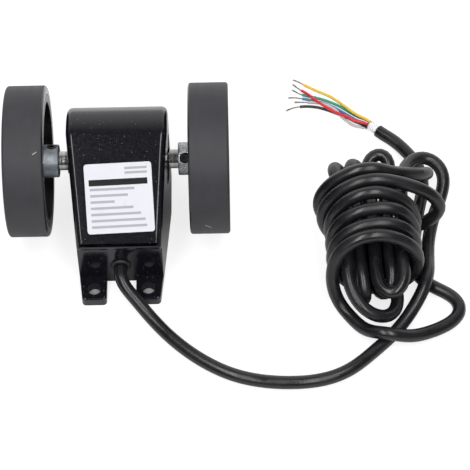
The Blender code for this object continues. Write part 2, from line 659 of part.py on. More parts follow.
def make_housing():
    bm = body_of_profile(outer_profile(), 0.0)
    nose_low = LIP_HEIGHT - LIP_NOSE
    corners = side_edges(bm, lambda edge, middle: middle.y < FRONT_WALL_Y - CLEAR and abs(
        edge.verts[0].co.z - edge.verts[1].co.z) > LIP_NOSE / 2 and middle.z < LIP_HEIGHT)
    bevel(bm, corners, LIP_CORNER, 3)
    outline = side_edges(bm, lambda edge, middle: middle.z > LIP_HEIGHT - CLEAR and not (
        abs(middle.x) < TAB_GAP / 2 and middle.z > LIP_HEIGHT + CLEAR))
    bevel(bm, outline, EDGE_RADIUS, 2)
    uprights = side_edges(bm, lambda edge, middle: middle.z < nose_low and abs(
        edge.verts[0].co.z - edge.verts[1].co.z) > LIP_NOSE)
    bevel(bm, uprights, PEDESTAL_EDGE, 2)

    for front in (True, False):
        for side in (-1, 1):
            tab = prism(tab_outline(side, front), 0.0, TAB_THICKNESS)
            top = side_edges(tab, lambda edge, middle: middle.z > TAB_THICKNESS - CLEAR)
            bm = fuse(bm, bevel(tab, top, TAB_EDGE, 1))

    bm = cut(bm, body_of_profile(inner_profile(-OVERRUN), WALL))

    seat_end = BEARING_OUTER_PLANE - BEARING_WIDTH - CLEAR - SEAT_SHOULDER
    seat_radius = BEARING_OUTER_DIAMETER / 2 + CLEAR
    for side in (-1, 1):
        low, high = sorted((side * seat_end, side * (HOUSING_HALF_WIDTH - WALL / 2)))
        bm = fuse(bm, shifted(rod(seat_radius + SEAT_WALL, low, high, steps=ROUND), z=SHAFT_HEIGHT))
    for x, y in cover_screw_places():
        low = COVER_THICKNESS + CLEAR
        post = rod(COVER_BOSS_DIAMETER / 2, low, low + COVER_BOSS_HEIGHT, steps=COARSE, axis="Z")
        bm = fuse(bm, shifted(post, x=x, y=y))
        gusset = box(min(0.0, math.copysign(COVER_BOSS_INSET_X + WALL / 2, x)),
                     max(0.0, math.copysign(COVER_BOSS_INSET_X + WALL / 2, x)),
                     -COVER_BOSS_DIAMETER / 4, COVER_BOSS_DIAMETER / 4, low, low + COVER_BOSS_HEIGHT)
        bm = fuse(bm, shifted(gusset, x=x, y=y))
    for x, y in board_screw_places():
        low = BOARD_TOP + CLEAR
        reach = half_width(y) - WALL / 2 - abs(x)
        post = rod(LEDGE_DIAMETER / 2, low, low + LEDGE_HEIGHT, steps=COARSE, axis="Z")
        arm = box(min(0.0, math.copysign(reach, x)), max(0.0, math.copysign(reach, x)),
                  -LEDGE_DIAMETER / 2, LEDGE_DIAMETER / 2, low, low + LEDGE_HEIGHT)
        bm = fuse(bm, shifted(fuse(post, arm), x=x, y=y))
    posts_y = FRONT_WALL_Y + WALL + CLAMP_FROM_WALL
    for side in (-1, 1):
        x = side * clamp_screw_x()
        low = COVER_THICKNESS + CLEAR
        post = box(x - CLAMP_POST_HALF_WIDTH, x + CLAMP_POST_HALF_WIDTH, FRONT_WALL_Y + WALL / 2,
                   posts_y + CLAMP_WIDTH / 2, low, CABLE_EXIT_HEIGHT - CLEAR)
        bm = fuse(bm, post)

    bm = cut(bm, prism(cover_outline(COVER_LEDGE + CLEAR), -OVERRUN, COVER_THICKNESS + CLEAR))
    for side in (-1, 1):
        near = BEARING_OUTER_PLANE - BEARING_WIDTH - CLEAR
        low, high = sorted((side * near, side * (HOUSING_HALF_WIDTH + OVERRUN)))
        bm = cut(bm, shifted(rod(seat_radius, low, high), z=SHAFT_HEIGHT))
        low, high = sorted((side * (seat_end - OVERRUN), side * (near + OVERRUN)))
        bm = cut(bm, shifted(rod(SEAT_SHOULDER_BORE / 2, low, high), z=SHAFT_HEIGHT))
    for x, y in tab_holes():
        hole = rod(TAB_HOLE_DIAMETER / 2, -OVERRUN, TAB_THICKNESS + OVERRUN, steps=COARSE, axis="Z")
        bm = cut(bm, shifted(hole, x=x, y=y))
    depth = M3_LENGTH + CLEAR
    for x, y in cover_screw_places():
        hole = rod(M3_DIAMETER / 2 + CLEAR, -OVERRUN, depth, steps=SMALL, axis="Z")
        bm = cut(bm, shifted(hole, x=x, y=y))
    for x, y in board_screw_places():
        tip = board_screw_face() + BOARD_SCREW_LENGTH + CLEAR
        hole = rod(M3_DIAMETER / 2 + CLEAR, BOARD_TOP - OVERRUN, tip, steps=SMALL, axis="Z")
        bm = cut(bm, shifted(hole, x=x, y=y))
    for side in (-1, 1):
        x = side * clamp_screw_x()
        hole = rod(M3_DIAMETER / 2 + CLEAR, CABLE_EXIT_HEIGHT - depth, CABLE_EXIT_HEIGHT + OVERRUN,
                   steps=SMALL, axis="Z")
        bm = cut(bm, shifted(hole, x=x, y=posts_y))
    exit_hole = rod(GROMMET_BODY_DIAMETER / 2 + CLEAR, FRONT_WALL_Y - OVERRUN, FRONT_WALL_Y + WALL + OVERRUN,
                    steps=ROUND, axis="Y")
    bm = cut(bm, shifted(exit_hole, z=CABLE_EXIT_HEIGHT))
    pocket_width, pocket_height = label_width() + 2 * POCKET_MARGIN, LABEL_HEIGHT + 2 * POCKET_MARGIN
    pocket = prism(rounded_outline(pocket_width, pocket_height, LABEL_CORNER), -POCKET_DEPTH, OVERRUN)
    middle = LABEL_FROM_LIP + LABEL_HEIGHT / 2
    bm = cut(bm, moved(pocket, face_matrix(middle, 0.0)))
    return to_object("housing", bm, black_paint())


def make_label():
    middle = LABEL_FROM_LIP + LABEL_HEIGHT / 2
    film = prism(rounded_outline(label_width(), LABEL_HEIGHT, LABEL_CORNER), 0.0, LABEL_THICKNESS)
    moved(film, face_matrix(middle, CLEAR - POCKET_DEPTH, LABEL_TURN))
    to_object("label_plate", film, label_white())


def make_base_cover():
    plate = prism(cover_outline(COVER_LEDGE), 0.0, COVER_THICKNESS)
    head, shank = M3_HEAD_DIAMETER / 2 + CLEAR, M3_DIAMETER / 2 + CLEAR
    for x, y in cover_screw_places():
        sink = turned([(-OVERRUN, 0.0), (-OVERRUN, head), (0.0, head), (M3_HEAD_HEIGHT, shank),
                       (COVER_THICKNESS + OVERRUN, shank), (COVER_THICKNESS + OVERRUN, 0.0)],
                      steps=SMALL, closed=False)
        moved(sink, Matrix.Rotation(-math.pi / 2, 4, "Y"))
        plate = cut(plate, shifted(sink, x=x, y=y))
    to_object("base_cover", plate, black_paint())
    for number, (x, y) in enumerate(cover_screw_places(), start=1):
        screw = socket_screw(M3_DIAMETER, M3_LENGTH, M3_HEAD_DIAMETER, M3_HEAD_HEIGHT, M3_SOCKET)
        to_object(f"base_cover_screw_{number}", shifted(screw, x=x, y=y, z=CLEAR / 2), steel())


# Shaft, bearings and wheels: all of these are given from the shaft's axis

def make_shaft(rotor):
    radius = SHAFT_DIAMETER / 2
    half = SHAFT_LENGTH / 2
    groove_in = BEARING_OUTER_PLANE
    groove_out = BEARING_OUTER_PLANE + CIRCLIP_THICKNESS + 2 * CLEAR
    floor = radius - CIRCLIP_GROOVE_DEPTH
    right = [(groove_in, radius), (groove_in, floor), (groove_out, floor), (groove_out, radius),
             (half - SHAFT_CHAMFER, radius), (half, radius - SHAFT_CHAMFER), (half, 0.0)]
    left = [(-x, r) for x, r in reversed(right)]
    to_object("main_shaft", turned(left + right, closed=False), steel(), rotor)


def make_circlip(name, side, rotor):
    """A snap ring in the shaft's groove, with its gap."""
    inner = SHAFT_DIAMETER / 2 - CIRCLIP_GROOVE_DEPTH + CLEAR
    outer = CIRCLIP_OUTER_DIAMETER / 2
    sweep = 2 * math.pi - CIRCLIP_GAP_ANGLE
    steps = COARSE
    start = math.pi / 2 + CIRCLIP_GAP_ANGLE / 2
    ring = [(outer * math.cos(start + sweep * i / steps), outer * math.sin(start + sweep * i / steps))
            for i in range(steps + 1)]
    ring += [(inner * math.cos(start + sweep * i / steps), inner * math.sin(start + sweep * i / steps))
             for i in range(steps, -1, -1)]
    near = BEARING_OUTER_PLANE + CLEAR
    low, high = sorted((side * near, side * (near + CIRCLIP_THICKNESS)))
    to_object(name, prism(ring, low, high, axis="X"), dark_steel(), rotor)


def race_radii():
    pitch = (BEARING_OUTER_DIAMETER + SHAFT_DIAMETER) / 4
    return pitch, BALL_DIAMETER / 2 + CLEAR


def bearing_middle(side):
    return side * (BEARING_OUTER_PLANE - BEARING_WIDTH / 2)


def make_bearing(word, side, rotor, balls_body):
    pitch, race = race_radii()
    half = BEARING_WIDTH / 2
    middle = bearing_middle(side)
    land_out = pitch + RACE_LAND
    land_in = pitch - RACE_LAND
    reach = math.sqrt(race ** 2 - RACE_LAND ** 2)
    angles = [math.asin(reach / race) * share for share in (-1.0, -0.5, 0.0, 0.5, 1.0)]
    outer = BEARING_OUTER_DIAMETER / 2
    inner = SHAFT_DIAMETER / 2 + CLEAR
    outer_ring = [(-half, outer), (-half, land_out)]
    outer_ring += [(race * math.sin(a), pitch + race * math.cos(a)) for a in angles]
    outer_ring += [(half, land_out), (half, outer)]
    to_object(f"{word}_bearing_outer_ring", shifted(turned(outer_ring, steps=MEDIUM), x=middle,
                                                    z=SHAFT_HEIGHT), steel())
    inner_ring = [(-half, inner), (-half, land_in)]
    inner_ring += [(race * math.sin(a), pitch - race * math.cos(a)) for a in angles]
    inner_ring += [(half, land_in), (half, inner)]
    to_object(f"{word}_bearing_inner_ring", shifted(turned(inner_ring, steps=MEDIUM), x=middle), steel(),
              rotor)

    for place, end in (("outer", side), ("inner", -side)):
        low, high = half - SHIELD_THICKNESS, half
        washer = turned([(end * low, land_in + CLEAR), (end * low, land_out - CLEAR),
                         (end * high, land_out - CLEAR), (end * high, land_in + CLEAR)], steps=COARSE)
        to_object(f"{word}_bearing_{place}_shield", shifted(washer, x=middle, z=SHAFT_HEIGHT), steel())
    to_object(f"{word}_bearing_balls", shifted(caged_balls(pitch), x=middle), steel(), balls_body)


def caged_balls(pitch):
    """A ribbon cage round the middle of the race, and the balls that it grips."""
    inner, outer = pitch - CAGE_WIDTH / 2, pitch + CAGE_WIDTH / 2
    cage = turned([(-CAGE_THICKNESS, inner), (-CAGE_THICKNESS, outer), (CAGE_THICKNESS, outer),
                   (CAGE_THICKNESS, inner)], steps=2 * BALL_COUNT)
    for i in range(BALL_COUNT):
        angle = 2 * math.pi * i / BALL_COUNT
        ball = bmesh.new()
        bmesh.ops.create_uvsphere(ball, u_segments=SMALL, v_segments=BALL_RINGS, radius=BALL_DIAMETER / 2)
        cage = fuse(cage, shifted(ball, 0.0, -pitch * math.sin(angle), pitch * math.cos(angle)))
    return cage


def make_wheel(word, side, screw_angle, rotor):
    """A rubber tyre keyed into its rim, and the hub with the screw that holds it on the shaft."""
    radius = WHEEL_DIAMETER / 2
    near, far = WHEEL_INNER_PLANE, WHEEL_INNER_PLANE + WHEEL_WIDTH
    middle = (near + far) / 2
    bed = radius - TYRE_THICKNESS
    key_low, key_high = middle - TYRE_KEY_WIDTH / 2, middle + TYRE_KEY_WIDTH / 2
    key = bed - TYRE_KEY_DEPTH
    cut_in = TYRE_EDGE * TYRE_EDGE_SHARE
    tyre = [(near, bed), (near, radius - TYRE_EDGE), (near + cut_in, radius - cut_in),
            (near + TYRE_EDGE, radius), (far - TYRE_EDGE, radius), (far - cut_in, radius - cut_in),
            (far, radius - TYRE_EDGE), (far, bed), (key_high, bed), (key_high, key), (key_low, key),
            (key_low, bed)]
    to_object(f"{word}_tyre", turned(mirrored(tyre, side), steps=FINE), rubber(), rotor)

    seat = bed - CLEAR
    rim_in = seat - RIM_THICKNESS
    web_far = far - WEB_INSET
    web_near = web_far - WEB_THICKNESS
    bore = HUB_DIAMETER / 2 + CLEAR
    boss = bore + WHEEL_BOSS_THICKNESS
    groove_low, groove_high = key_low - CLEAR, key_high + CLEAR
    groove = key - CLEAR
    rim = [(near, rim_in), (near, seat), (groove_low, seat), (groove_low, groove), (groove_high, groove),
           (groove_high, seat), (far, seat), (far, rim_in), (web_far, rim_in - WALL / 2), (web_far, bore),
           (web_near - WALL, bore), (web_near - WALL, boss), (web_near, boss + WALL / 2),
           (web_near, rim_in - WALL / 2), (web_near - WALL / 2, rim_in)]
    to_object(f"{word}_wheel_rim", turned(mirrored(rim, side), steps=BROAD), black_plastic(), rotor)

    outer = HUB_DIAMETER / 2
    shaft_hole = SHAFT_DIAMETER / 2 + CLEAR
    hub_near = near - HUB_STANDOUT
    hub = [(hub_near, shaft_hole), (hub_near, outer - HUB_EDGE), (hub_near + HUB_EDGE, outer),
           (web_far, outer), (web_far, shaft_hole)]
    place = side * (hub_near + SET_SCREW_FROM_HUB_END)
    direction = Matrix.Translation((place, 0, 0)) @ Matrix.Rotation(math.pi / 2 - screw_angle, 4, "X")
    hole = rod(SET_SCREW_DIAMETER / 2 + CLEAR, shaft_hole - OVERRUN, outer + OVERRUN, steps=SMALL, axis="Z")
    body = cut(turned(mirrored(hub, side)), moved(hole, direction))
    to_object(f"{word}_wheel_hub", body, zinc(), rotor)
    foot = SHAFT_DIAMETER / 2 + CLEAR
    screw = rod(SET_SCREW_DIAMETER / 2, foot, foot + SET_SCREW_LENGTH, steps=SMALL, axis="Z")
    socket = rod(SET_SCREW_SOCKET / 2, foot + SET_SCREW_LENGTH / 2, foot + SET_SCREW_LENGTH + OVERRUN,
                 steps=HEXAGON, axis="Z")
    to_object(f"{word}_set_screw", moved(cut(screw, socket), direction), dark_steel(), rotor)


# Encoder disc

def make_disc(rotor):
    """A disc with a ring of windows, one for each slot."""
    bm = bmesh.new()
    radii = [DISC_BORE / 2, SLOT_OUTER_DIAMETER / 2 - SLOT_LENGTH, SLOT_OUTER_DIAMETER / 2, DISC_DIAMETER / 2]
    count = 2 * SLOT_COUNT
    sheets = []
    angles = [2 * math.pi * i / count for i in range(count)]
    for x in (-DISC_THICKNESS / 2, DISC_THICKNESS / 2):
        rows = [[bm.verts.new((x, -r * math.sin(a), r * math.cos(a))) for a in angles] for r in radii]
        for ring in range(3):
            for i in range(count):
                if ring == 1 and i % 2:
                    continue
                j = (i + 1) % count
                bm.faces.new((rows[ring][i], rows[ring][j], rows[ring + 1][j], rows[ring + 1][i]))
        sheets.append(rows)
    low, high = sheets
    for i in range(count):
        j = (i + 1) % count
        for ring in (0, 3):
            bm.faces.new((low[ring][i], low[ring][j], high[ring][j], high[ring][i]))
        if i % 2:
            for a, b in ((low[1][i], low[1][j]), (low[1][j], low[2][j]), (low[2][j], low[2][i]),
                         (low[2][i], low[1][i])):
                twin = [high[r][k] for v in (a, b) for r in (1, 2) for k in (i, j) if low[r][k] is v]
                bm.faces.new((a, b, twin[1], twin[0]))
    to_object("encoder_disc", clean(bm), dark_steel(), rotor, smooth=False)

    bore = SHAFT_DIAMETER / 2 + CLEAR
    face = -DISC_THICKNESS / 2 - CLEAR
    spigot = DISC_BORE / 2 - CLEAR
    back = face - COLLAR_FLANGE
    end = face - COLLAR_LENGTH
    flange = COLLAR_DIAMETER / 2
    barrel = COLLAR_BARREL_DIAMETER / 2
    collar = turned([(face + COLLAR_SPIGOT, bore), (face + COLLAR_SPIGOT, spigot), (face, spigot),
                     (face, flange), (back, flange), (back, barrel), (end, barrel), (end, bore)],
                    steps=COARSE)
    place = Matrix.Translation(((back + end) / 2, 0, 0))
    hole = rod(COLLAR_SCREW_DIAMETER / 2 + CLEAR, bore - OVERRUN, barrel + OVERRUN, steps=SMALL, axis="Z")
    to_object("disc_collar", cut(collar, moved(hole, place)), aluminium(), rotor)
    low_end = SHAFT_DIAMETER / 2 + CLEAR
    high_end = barrel - CLEAR
    grub = rod(COLLAR_SCREW_DIAMETER / 2, low_end, high_end, steps=SMALL, axis="Z")
    socket = rod(COLLAR_SCREW_DIAMETER / 4, (low_end + high_end) / 2, high_end + OVERRUN, steps=HEXAGON,
                 axis="Z")
    to_object("disc_collar_screw", moved(cut(grub, socket), place), dark_steel(), rotor)


# Electronics

def make_board():
    outline = rounded_outline(board_width(), BOARD_LENGTH, BOARD_CORNER)
    plate = prism([(x, y + BOARD_CENTRE_Y) for x, y in outline], BOARD_TOP - BOARD_THICKNESS, BOARD_TOP)
    for x, y in board_screw_places():
        hole = rod(M3_DIAMETER / 2 + CLEAR, BOARD_TOP - OVERRUN, BOARD_TOP + OVERRUN, steps=SMALL, axis="Z")
        plate = cut(plate, shifted(hole, x=x, y=y))
    to_object("circuit_board", plate, board_green())
    for number, (x, y) in enumerate(board_screw_places(), start=1):
        screw = socket_screw(M3_DIAMETER, BOARD_SCREW_LENGTH, M3_HEAD_DIAMETER, M3_HEAD_HEIGHT, M3_SOCKET)
        to_object(f"board_screw_{number}", shifted(screw, x=x, y=y, z=board_screw_face()), steel())


def sensor_y(sign):
    """Where a sensor stands, so that it meets the disc at its own angle from the bottom."""
    return sign * (SLOT_OUTER_DIAMETER - SLOT_LENGTH) / 2 * math.sin(SENSOR_ANGLE)


def make_sensor(name, sign):
    """A fork that the disc's edge runs through, with its light on one arm and its eye on the other."""
    y = sensor_y(sign)
    low = BOARD_TOP + CLEAR
    half = SENSOR_LENGTH / 2
    slot = half - SENSOR_ARM
    fork = [(-half, low), (half, low), (half, low + SENSOR_HEIGHT), (slot, low + SENSOR_HEIGHT),
            (slot, low + SENSOR_BASE), (-slot, low + SENSOR_BASE), (-slot, low + SENSOR_HEIGHT),
            (-half, low + SENSOR_HEIGHT)]
    bm = prism(fork, y - SENSOR_WIDTH / 2, y + SENSOR_WIDTH / 2, axis="X")
    moved(bm, Matrix.Rotation(math.pi / 2, 4, "Z"))
    moved(bm, Matrix.Scale(-1, 4, (1, 0, 0)))
    bmesh.ops.recalc_face_normals(bm, faces=bm.faces)
    to_object(name, bm, black_plastic(), smooth=False)


def make_components():
    low = BOARD_TOP + CLEAR
    front = BOARD_CENTRE_Y - BOARD_LENGTH / 2
    chip_y = front + BOARD_SCREW_INSET + CHIP_SIDE
    half = CHIP_SIDE / 2
    chip = box(-half, half, chip_y - half, chip_y + half, low, low + CHIP_THICKNESS)
    bevel(chip, side_edges(chip, lambda edge, middle: middle.z > low + CLEAR), CLEAR, 1)
    to_object("controller_chip", chip, black_plastic(), smooth=False)
    side_x = board_width() / 2 - REGULATOR_WIDTH
    regulator = box(side_x - REGULATOR_WIDTH / 2, side_x + REGULATOR_WIDTH / 2, chip_y - REGULATOR_DEPTH / 2,
                    chip_y + REGULATOR_DEPTH / 2, low, low + CHIP_THICKNESS)
    to_object("supply_regulator", regulator, black_plastic(), smooth=False)
    radius, high = CAPACITOR_DIAMETER / 2, low + CAPACITOR_HEIGHT
    can = turned([(low, 0.0), (low, radius), (high - CLEAR, radius), (high, radius - CLEAR), (high, 0.0)],
                 steps=SMALL, closed=False)
    moved(can, Matrix.Rotation(-math.pi / 2, 4, "Y"))
    to_object("smoothing_capacitor", shifted(can, x=-side_x, y=chip_y), aluminium())
    top = BOARD_TOP - BOARD_THICKNESS - CLEAR
    width = HEADER_PITCH * CORE_COUNT + HEADER_PITCH / 2
    header = box(-width / 2, width / 2, header_y() - HEADER_DEPTH / 2, header_y() + HEADER_DEPTH / 2,
                 top - HEADER_HEIGHT, top)
    to_object("wire_header", header, label_white(), smooth=False)


def header_y():
    return BOARD_CENTRE_Y + BOARD_LENGTH / 4


# Cable entry

def make_entry():
    body = GROMMET_BODY_DIAMETER / 2
    flange = GROMMET_FLANGE_DIAMETER / 2
    bore = CABLE_DIAMETER / 2 + CLEAR
    outside = FRONT_WALL_Y - CLEAR
    inside = FRONT_WALL_Y + WALL + CLEAR
    ring = turned([(outside - GROMMET_FLANGE, bore), (outside - GROMMET_FLANGE, body - CLEAR),
                   (outside, flange - GROMMET_SLOPE), (outside, body), (inside, body), (inside, flange),
                   (inside + GROMMET_FLANGE, flange), (inside + GROMMET_FLANGE, bore)], steps=MEDIUM)
    moved(ring, Matrix.Rotation(math.pi / 2, 4, "Z"))
    to_object("cable_grommet", shifted(ring, z=CABLE_EXIT_HEIGHT), black_plastic())

    radius = CABLE_DIAMETER / 2
    start = FRONT_WALL_Y - CLEAR - GROMMET_FLANGE
    jacket = rod(radius, start, FRONT_WALL_Y + WALL + JACKET_INSIDE, steps=SMALL, axis="Y")
    to_object("inner_jacket", shifted(jacket, z=CABLE_EXIT_HEIGHT), cable_black())

    y = FRONT_WALL_Y + WALL + CLAMP_FROM_WALL
    inner, outer = radius + CLEAR, radius + CLEAR + CLAMP_THICKNESS
    foot_x = outer + CLAMP_FOOT
    angles = [math.pi * i / SMALL for i in range(SMALL + 1)]
    arch = [(outer * math.cos(a), outer * math.sin(a)) for a in angles[1:-1]]
    hollow = [(inner * math.cos(a), inner * math.sin(a)) for a in reversed(angles)]
    strap = ([(foot_x, 0.0), (foot_x, CLAMP_THICKNESS), (outer, CLAMP_THICKNESS)] + arch
             + [(-outer, CLAMP_THICKNESS), (-foot_x, CLAMP_THICKNESS), (-foot_x, 0.0)] + hollow)
    clamp = prism(strap, y - CLAMP_WIDTH / 2, y + CLAMP_WIDTH / 2, axis="X")
    moved(clamp, Matrix.Rotation(math.pi / 2, 4, "Z"))
    moved(clamp, Matrix.Scale(-1, 4, (1, 0, 0)))
    bmesh.ops.recalc_face_normals(clamp, faces=clamp.faces)
    shifted(clamp, z=CABLE_EXIT_HEIGHT)
    for word, side in (("left", -1), ("right", 1)):
        x = side * clamp_screw_x()
        hole = rod(M3_DIAMETER / 2 + CLEAR, CABLE_EXIT_HEIGHT - OVERRUN, CABLE_EXIT_HEIGHT + OVERRUN,
                   steps=SMALL, axis="Z")
        clamp = cut(clamp, shifted(hole, x=x, y=y))
        screw = socket_screw(M3_DIAMETER, M3_LENGTH, M3_HEAD_DIAMETER, M3_HEAD_HEIGHT, M3_SOCKET)
        moved(screw, Matrix.Rotation(math.pi, 4, "X"))
        top = CABLE_EXIT_HEIGHT + CLAMP_THICKNESS + CLEAR + M3_HEAD_HEIGHT
        to_object(f"{word}_clamp_screw", shifted(screw, x=x, y=y, z=top), dark_steel())
    to_object("cable_clamp", clamp, steel())


def make_inner_cores():
    """The six cores side by side, from the end of the sheath to the header under the board."""
    start = FRONT_WALL_Y + WALL + JACKET_INSIDE + CLEAR
    end = header_y() - HEADER_DEPTH / 2 - CLEAR
    loom = None
    for number in range(CORE_COUNT):
        x = (number - (CORE_COUNT - 1) / 2) * (CORE_DIAMETER - CLEAR)
        core = shifted(rod(CORE_DIAMETER / 2, start, end, steps=HEXAGON, axis="Y"), x=x, z=CABLE_EXIT_HEIGHT)
        loom = core if loom is None else fuse(loom, core)
    to_object("inner_wires", loom, label_white())


# Free cable

def fold(start, end, y, out, reach, swell, lean_x, lean_z):
    """The points of a fold that joins two strands, a little wider at its waist than they are."""
    (x1, z1), (x2, z2) = start, end
    apart = math.hypot(x2 - x1, z2 - z1)
    across, up = (x2 - x1) / apart, (z2 - z1) / apart
    points = []
    for step in range(1, FOLD_STEPS):
        angle = math.pi * step / FOLD_STEPS
        share = (1 - math.cos(angle)) / 2
        bulge = math.sin(angle)
        wider = -swell * math.sin(2 * angle)
        points.append((x1 + (x2 - x1) * share + across * wider + lean_x * bulge, y + out * reach * bulge,
                       z1 + (z2 - z1) * share + up * wider + lean_z * bulge))
    return points


def hank():
    """The strands through the bore and the folds between them, from near to far and back."""
    points = []
    far = True
    for start, end, reach, swell, lean_x, lean_z in FOLDS:
        x, z = STRANDS[start]
        first, last = (BORE_FAR_Y, BORE_NEAR_Y) if far else (BORE_NEAR_Y, BORE_FAR_Y)
        out = math.copysign(1, last - first)
        points += [(x, first, z), (x, (first + last) / 2, z), (x, last, z)]
        points += fold(STRANDS[start], STRANDS[end], last, out, reach, swell, lean_x, lean_z)
        far = not far
    x, z = STRANDS[FOLDS[-1][1]]
    return points + [(x, BORE_NEAR_Y, z), (x, (BORE_NEAR_Y + BORE_FAR_Y) / 2, z), (x, BORE_FAR_Y, z)]


def wraps():
    """The turns round the hank. Each one starts at its top and goes down its left side first."""
    points = []
    ends = WRAP_TOPS_Y[1:] + (2 * WRAP_TOPS_Y[-1] - WRAP_TOPS_Y[-2],)
    for turn, (first, last) in enumerate(zip(WRAP_TOPS_Y, ends)):
        steps = WRAP_STEPS if turn < len(WRAP_TOPS_Y) - 1 else LAST_WRAP_STEPS
        for step in range(steps):
            angle = 2 * math.pi * step / WRAP_STEPS
            side, height = math.sin(angle), math.cos(angle)
            slack = WRAP_LEFT_SLACKS[turn] if side > 0 else WRAP_RIGHT_SLACKS[turn]
            lift = WRAP_LIFTS[turn] * max(0.0, height)
            points.append((WRAP_CENTRE_X - (WRAP_RADIUS + slack * abs(side)) * side,
                           first + (last - first) * step / WRAP_STEPS + WRAP_LEAN * (height - 1),
                           WRAP_CENTRE_Z + (WRAP_RADIUS + lift) * height))
    return points


def bundle_route():
    return list(BEFORE_HANK) + hank() + list(BEFORE_WRAPS) + wraps() + list(AFTER_WRAPS)


def smooth(points, step, parts=20):
    """Evenly spaced points along a centripetal Catmull-Rom curve through the given ones."""
    p = np.array(points, float)
    p = np.vstack([2 * p[0] - p[1], p, 2 * p[-1] - p[-2]])
    knots = np.concatenate([[0.0], np.cumsum(np.sqrt(np.linalg.norm(np.diff(p, axis=0), axis=1)))])
    fine = []
    for i in range(1, len(p) - 2):
        (t0, t1, t2, t3), (a, b, c, d) = knots[i - 1:i + 3], p[i - 1:i + 3]
        for t in np.linspace(t1, t2, parts, endpoint=False):
            ab = ((t1 - t) * a + (t - t0) * b) / (t1 - t0)
            bc = ((t2 - t) * b + (t - t1) * c) / (t2 - t1)
            cd = ((t3 - t) * c + (t - t2) * d) / (t3 - t2)
            abc = ((t2 - t) * ab + (t - t0) * bc) / (t2 - t0)
            bcd = ((t3 - t) * bc + (t - t1) * cd) / (t3 - t1)
            fine.append(((t2 - t) * abc + (t - t1) * bcd) / (t2 - t1))
    fine = np.array(fine + [p[-2]])
    along = np.concatenate([[0.0], np.cumsum(np.linalg.norm(np.diff(fine, axis=0), axis=1))])
    count = max(2, round(along[-1] / step))
    places = np.linspace(0.0, along[-1], count + 1)
    return np.column_stack([np.interp(places, along, fine[:, k]) for k in range(3)])


def spread(curves, spacing, floor, rounds, skip=4, held=3):
    """Moves strands that lie too close apart, by a shift that changes smoothly along each curve.

    A point is compared with all that lie more than skip points along, and the held points at each end stay.
    """
    rest = np.vstack(curves)
    owner = np.concatenate([np.full(len(curve), number) for number, curve in enumerate(curves)])
    index = np.arange(len(rest), dtype=float)
    joined = owner[:-1] == owner[1:]
    middle_index = (index[:-1] + 0.5)[joined]
    middle_owner = owner[:-1][joined]
    apart = (np.abs(index[:, None] - index[None, :]) > skip) | (owner[:, None] != owner[None, :])
    apart_middle = ((np.abs(index[:, None] - middle_index[None, :]) > skip)
                    | (owner[:, None] != middle_owner[None, :]))
    first = np.concatenate([np.arange(len(curve)) for curve in curves])
    last = np.concatenate([np.arange(len(curve))[::-1] for curve in curves])
    free = (first >= held) & (last >= held)
    inner = (first > 0) & (last > 0)
    shift = np.zeros_like(rest)
    for _ in range(rounds):
        p = rest + shift
        middles = ((p[:-1] + p[1:]) / 2)[joined]
        push = np.zeros_like(p)
        hits = np.zeros(len(p))
        for others, allowed in ((p, apart), (middles, apart_middle)):
            gap = p[:, None, :] - others[None, :, :]
            away = np.linalg.norm(gap, axis=2) + 1e-9
            need = np.where(allowed, np.maximum(0.0, spacing - away), 0.0)
            push += (gap * (need / away)[:, :, None]).sum(axis=1)
            hits += (need > 0).sum(axis=1)
        shift += np.where(free[:, None], PUSH_SHARE * push / np.maximum(1.0, hits)[:, None], 0.0)
        around = (np.roll(shift, 1, axis=0) + np.roll(shift, -1, axis=0)) / 2
        shift = np.where(inner[:, None], (1 - EVEN_SHARE) * shift + EVEN_SHARE * around, shift)
        shift = np.where(free[:, None], shift, 0.0)
        shift[:, 2] = np.maximum(shift[:, 2], floor - rest[:, 2])
    moved = rest + shift
    return [moved[owner == number] for number in range(len(curves))]


def least_gap(points, diameter):
    """The smallest gap of one tube to itself, in millimetres, between points that lie well apart along it."""
    step = diameter * FINE_STEP_SHARE
    fine = smooth(points, step)
    index = np.arange(len(fine))
    away = np.linalg.norm(fine[:, None] - fine[None], axis=2)
    away[np.abs(index[:, None] - index[None]) * step < SAME_BEND_SHARE * diameter] = np.inf
    return away.min() - diameter


def tube(name, points, diameter, sides_step, finish, radii=None):
    """A round tube along points given in millimetres. A sides_step of 1 gives six sides and 2 gives eight."""
    curve = bpy.data.curves.new(name, "CURVE")
    curve.dimensions = "3D"
    curve.bevel_depth = diameter / 2
    curve.bevel_resolution = sides_step
    curve.use_fill_caps = True
    spline = curve.splines.new("POLY")
    spline.points.add(len(points) - 1)
    for number, (point, place) in enumerate(zip(spline.points, points)):
        point.co = (*(float(v) * MM for v in place), 1.0)
        point.radius = 1.0 if radii is None else radii[number]
    curve.materials.append(finish)
    made = bpy.data.objects.new(name, curve)
    bpy.context.scene.collection.objects.link(made)
    return made


def make_cable():
    diameter = CABLE_DIAMETER / MM
    tube("cable_lead", smooth(LEAD_ROUTE, LEAD_STEP), CABLE_DIAMETER, 2, cable_black())
    rest = smooth(bundle_route(), BUNDLE_STEP)
    wound = spread([rest], CABLE_SPACING, (CABLE_DIAMETER + CLEAR) / 2 / MM, SPREAD_ROUNDS)[0]
    tube("cable_bundle", wound, CABLE_DIAMETER, 1, cable_black())
    tube("cable_tail", smooth(TAIL_ROUTE, LEAD_STEP / 2), CABLE_DIAMETER, 2, cable_black())
    length = sum(np.linalg.norm(np.diff(points, axis=0), axis=1).sum() for points in
                 (smooth(LEAD_ROUTE, LEAD_STEP), wound, smooth(TAIL_ROUTE, LEAD_STEP / 2)))
    gap = least_gap(wound, diameter)
    print(f"free cable {length:.0f} mm, least gap of the bundle to itself {gap:.2f} mm")


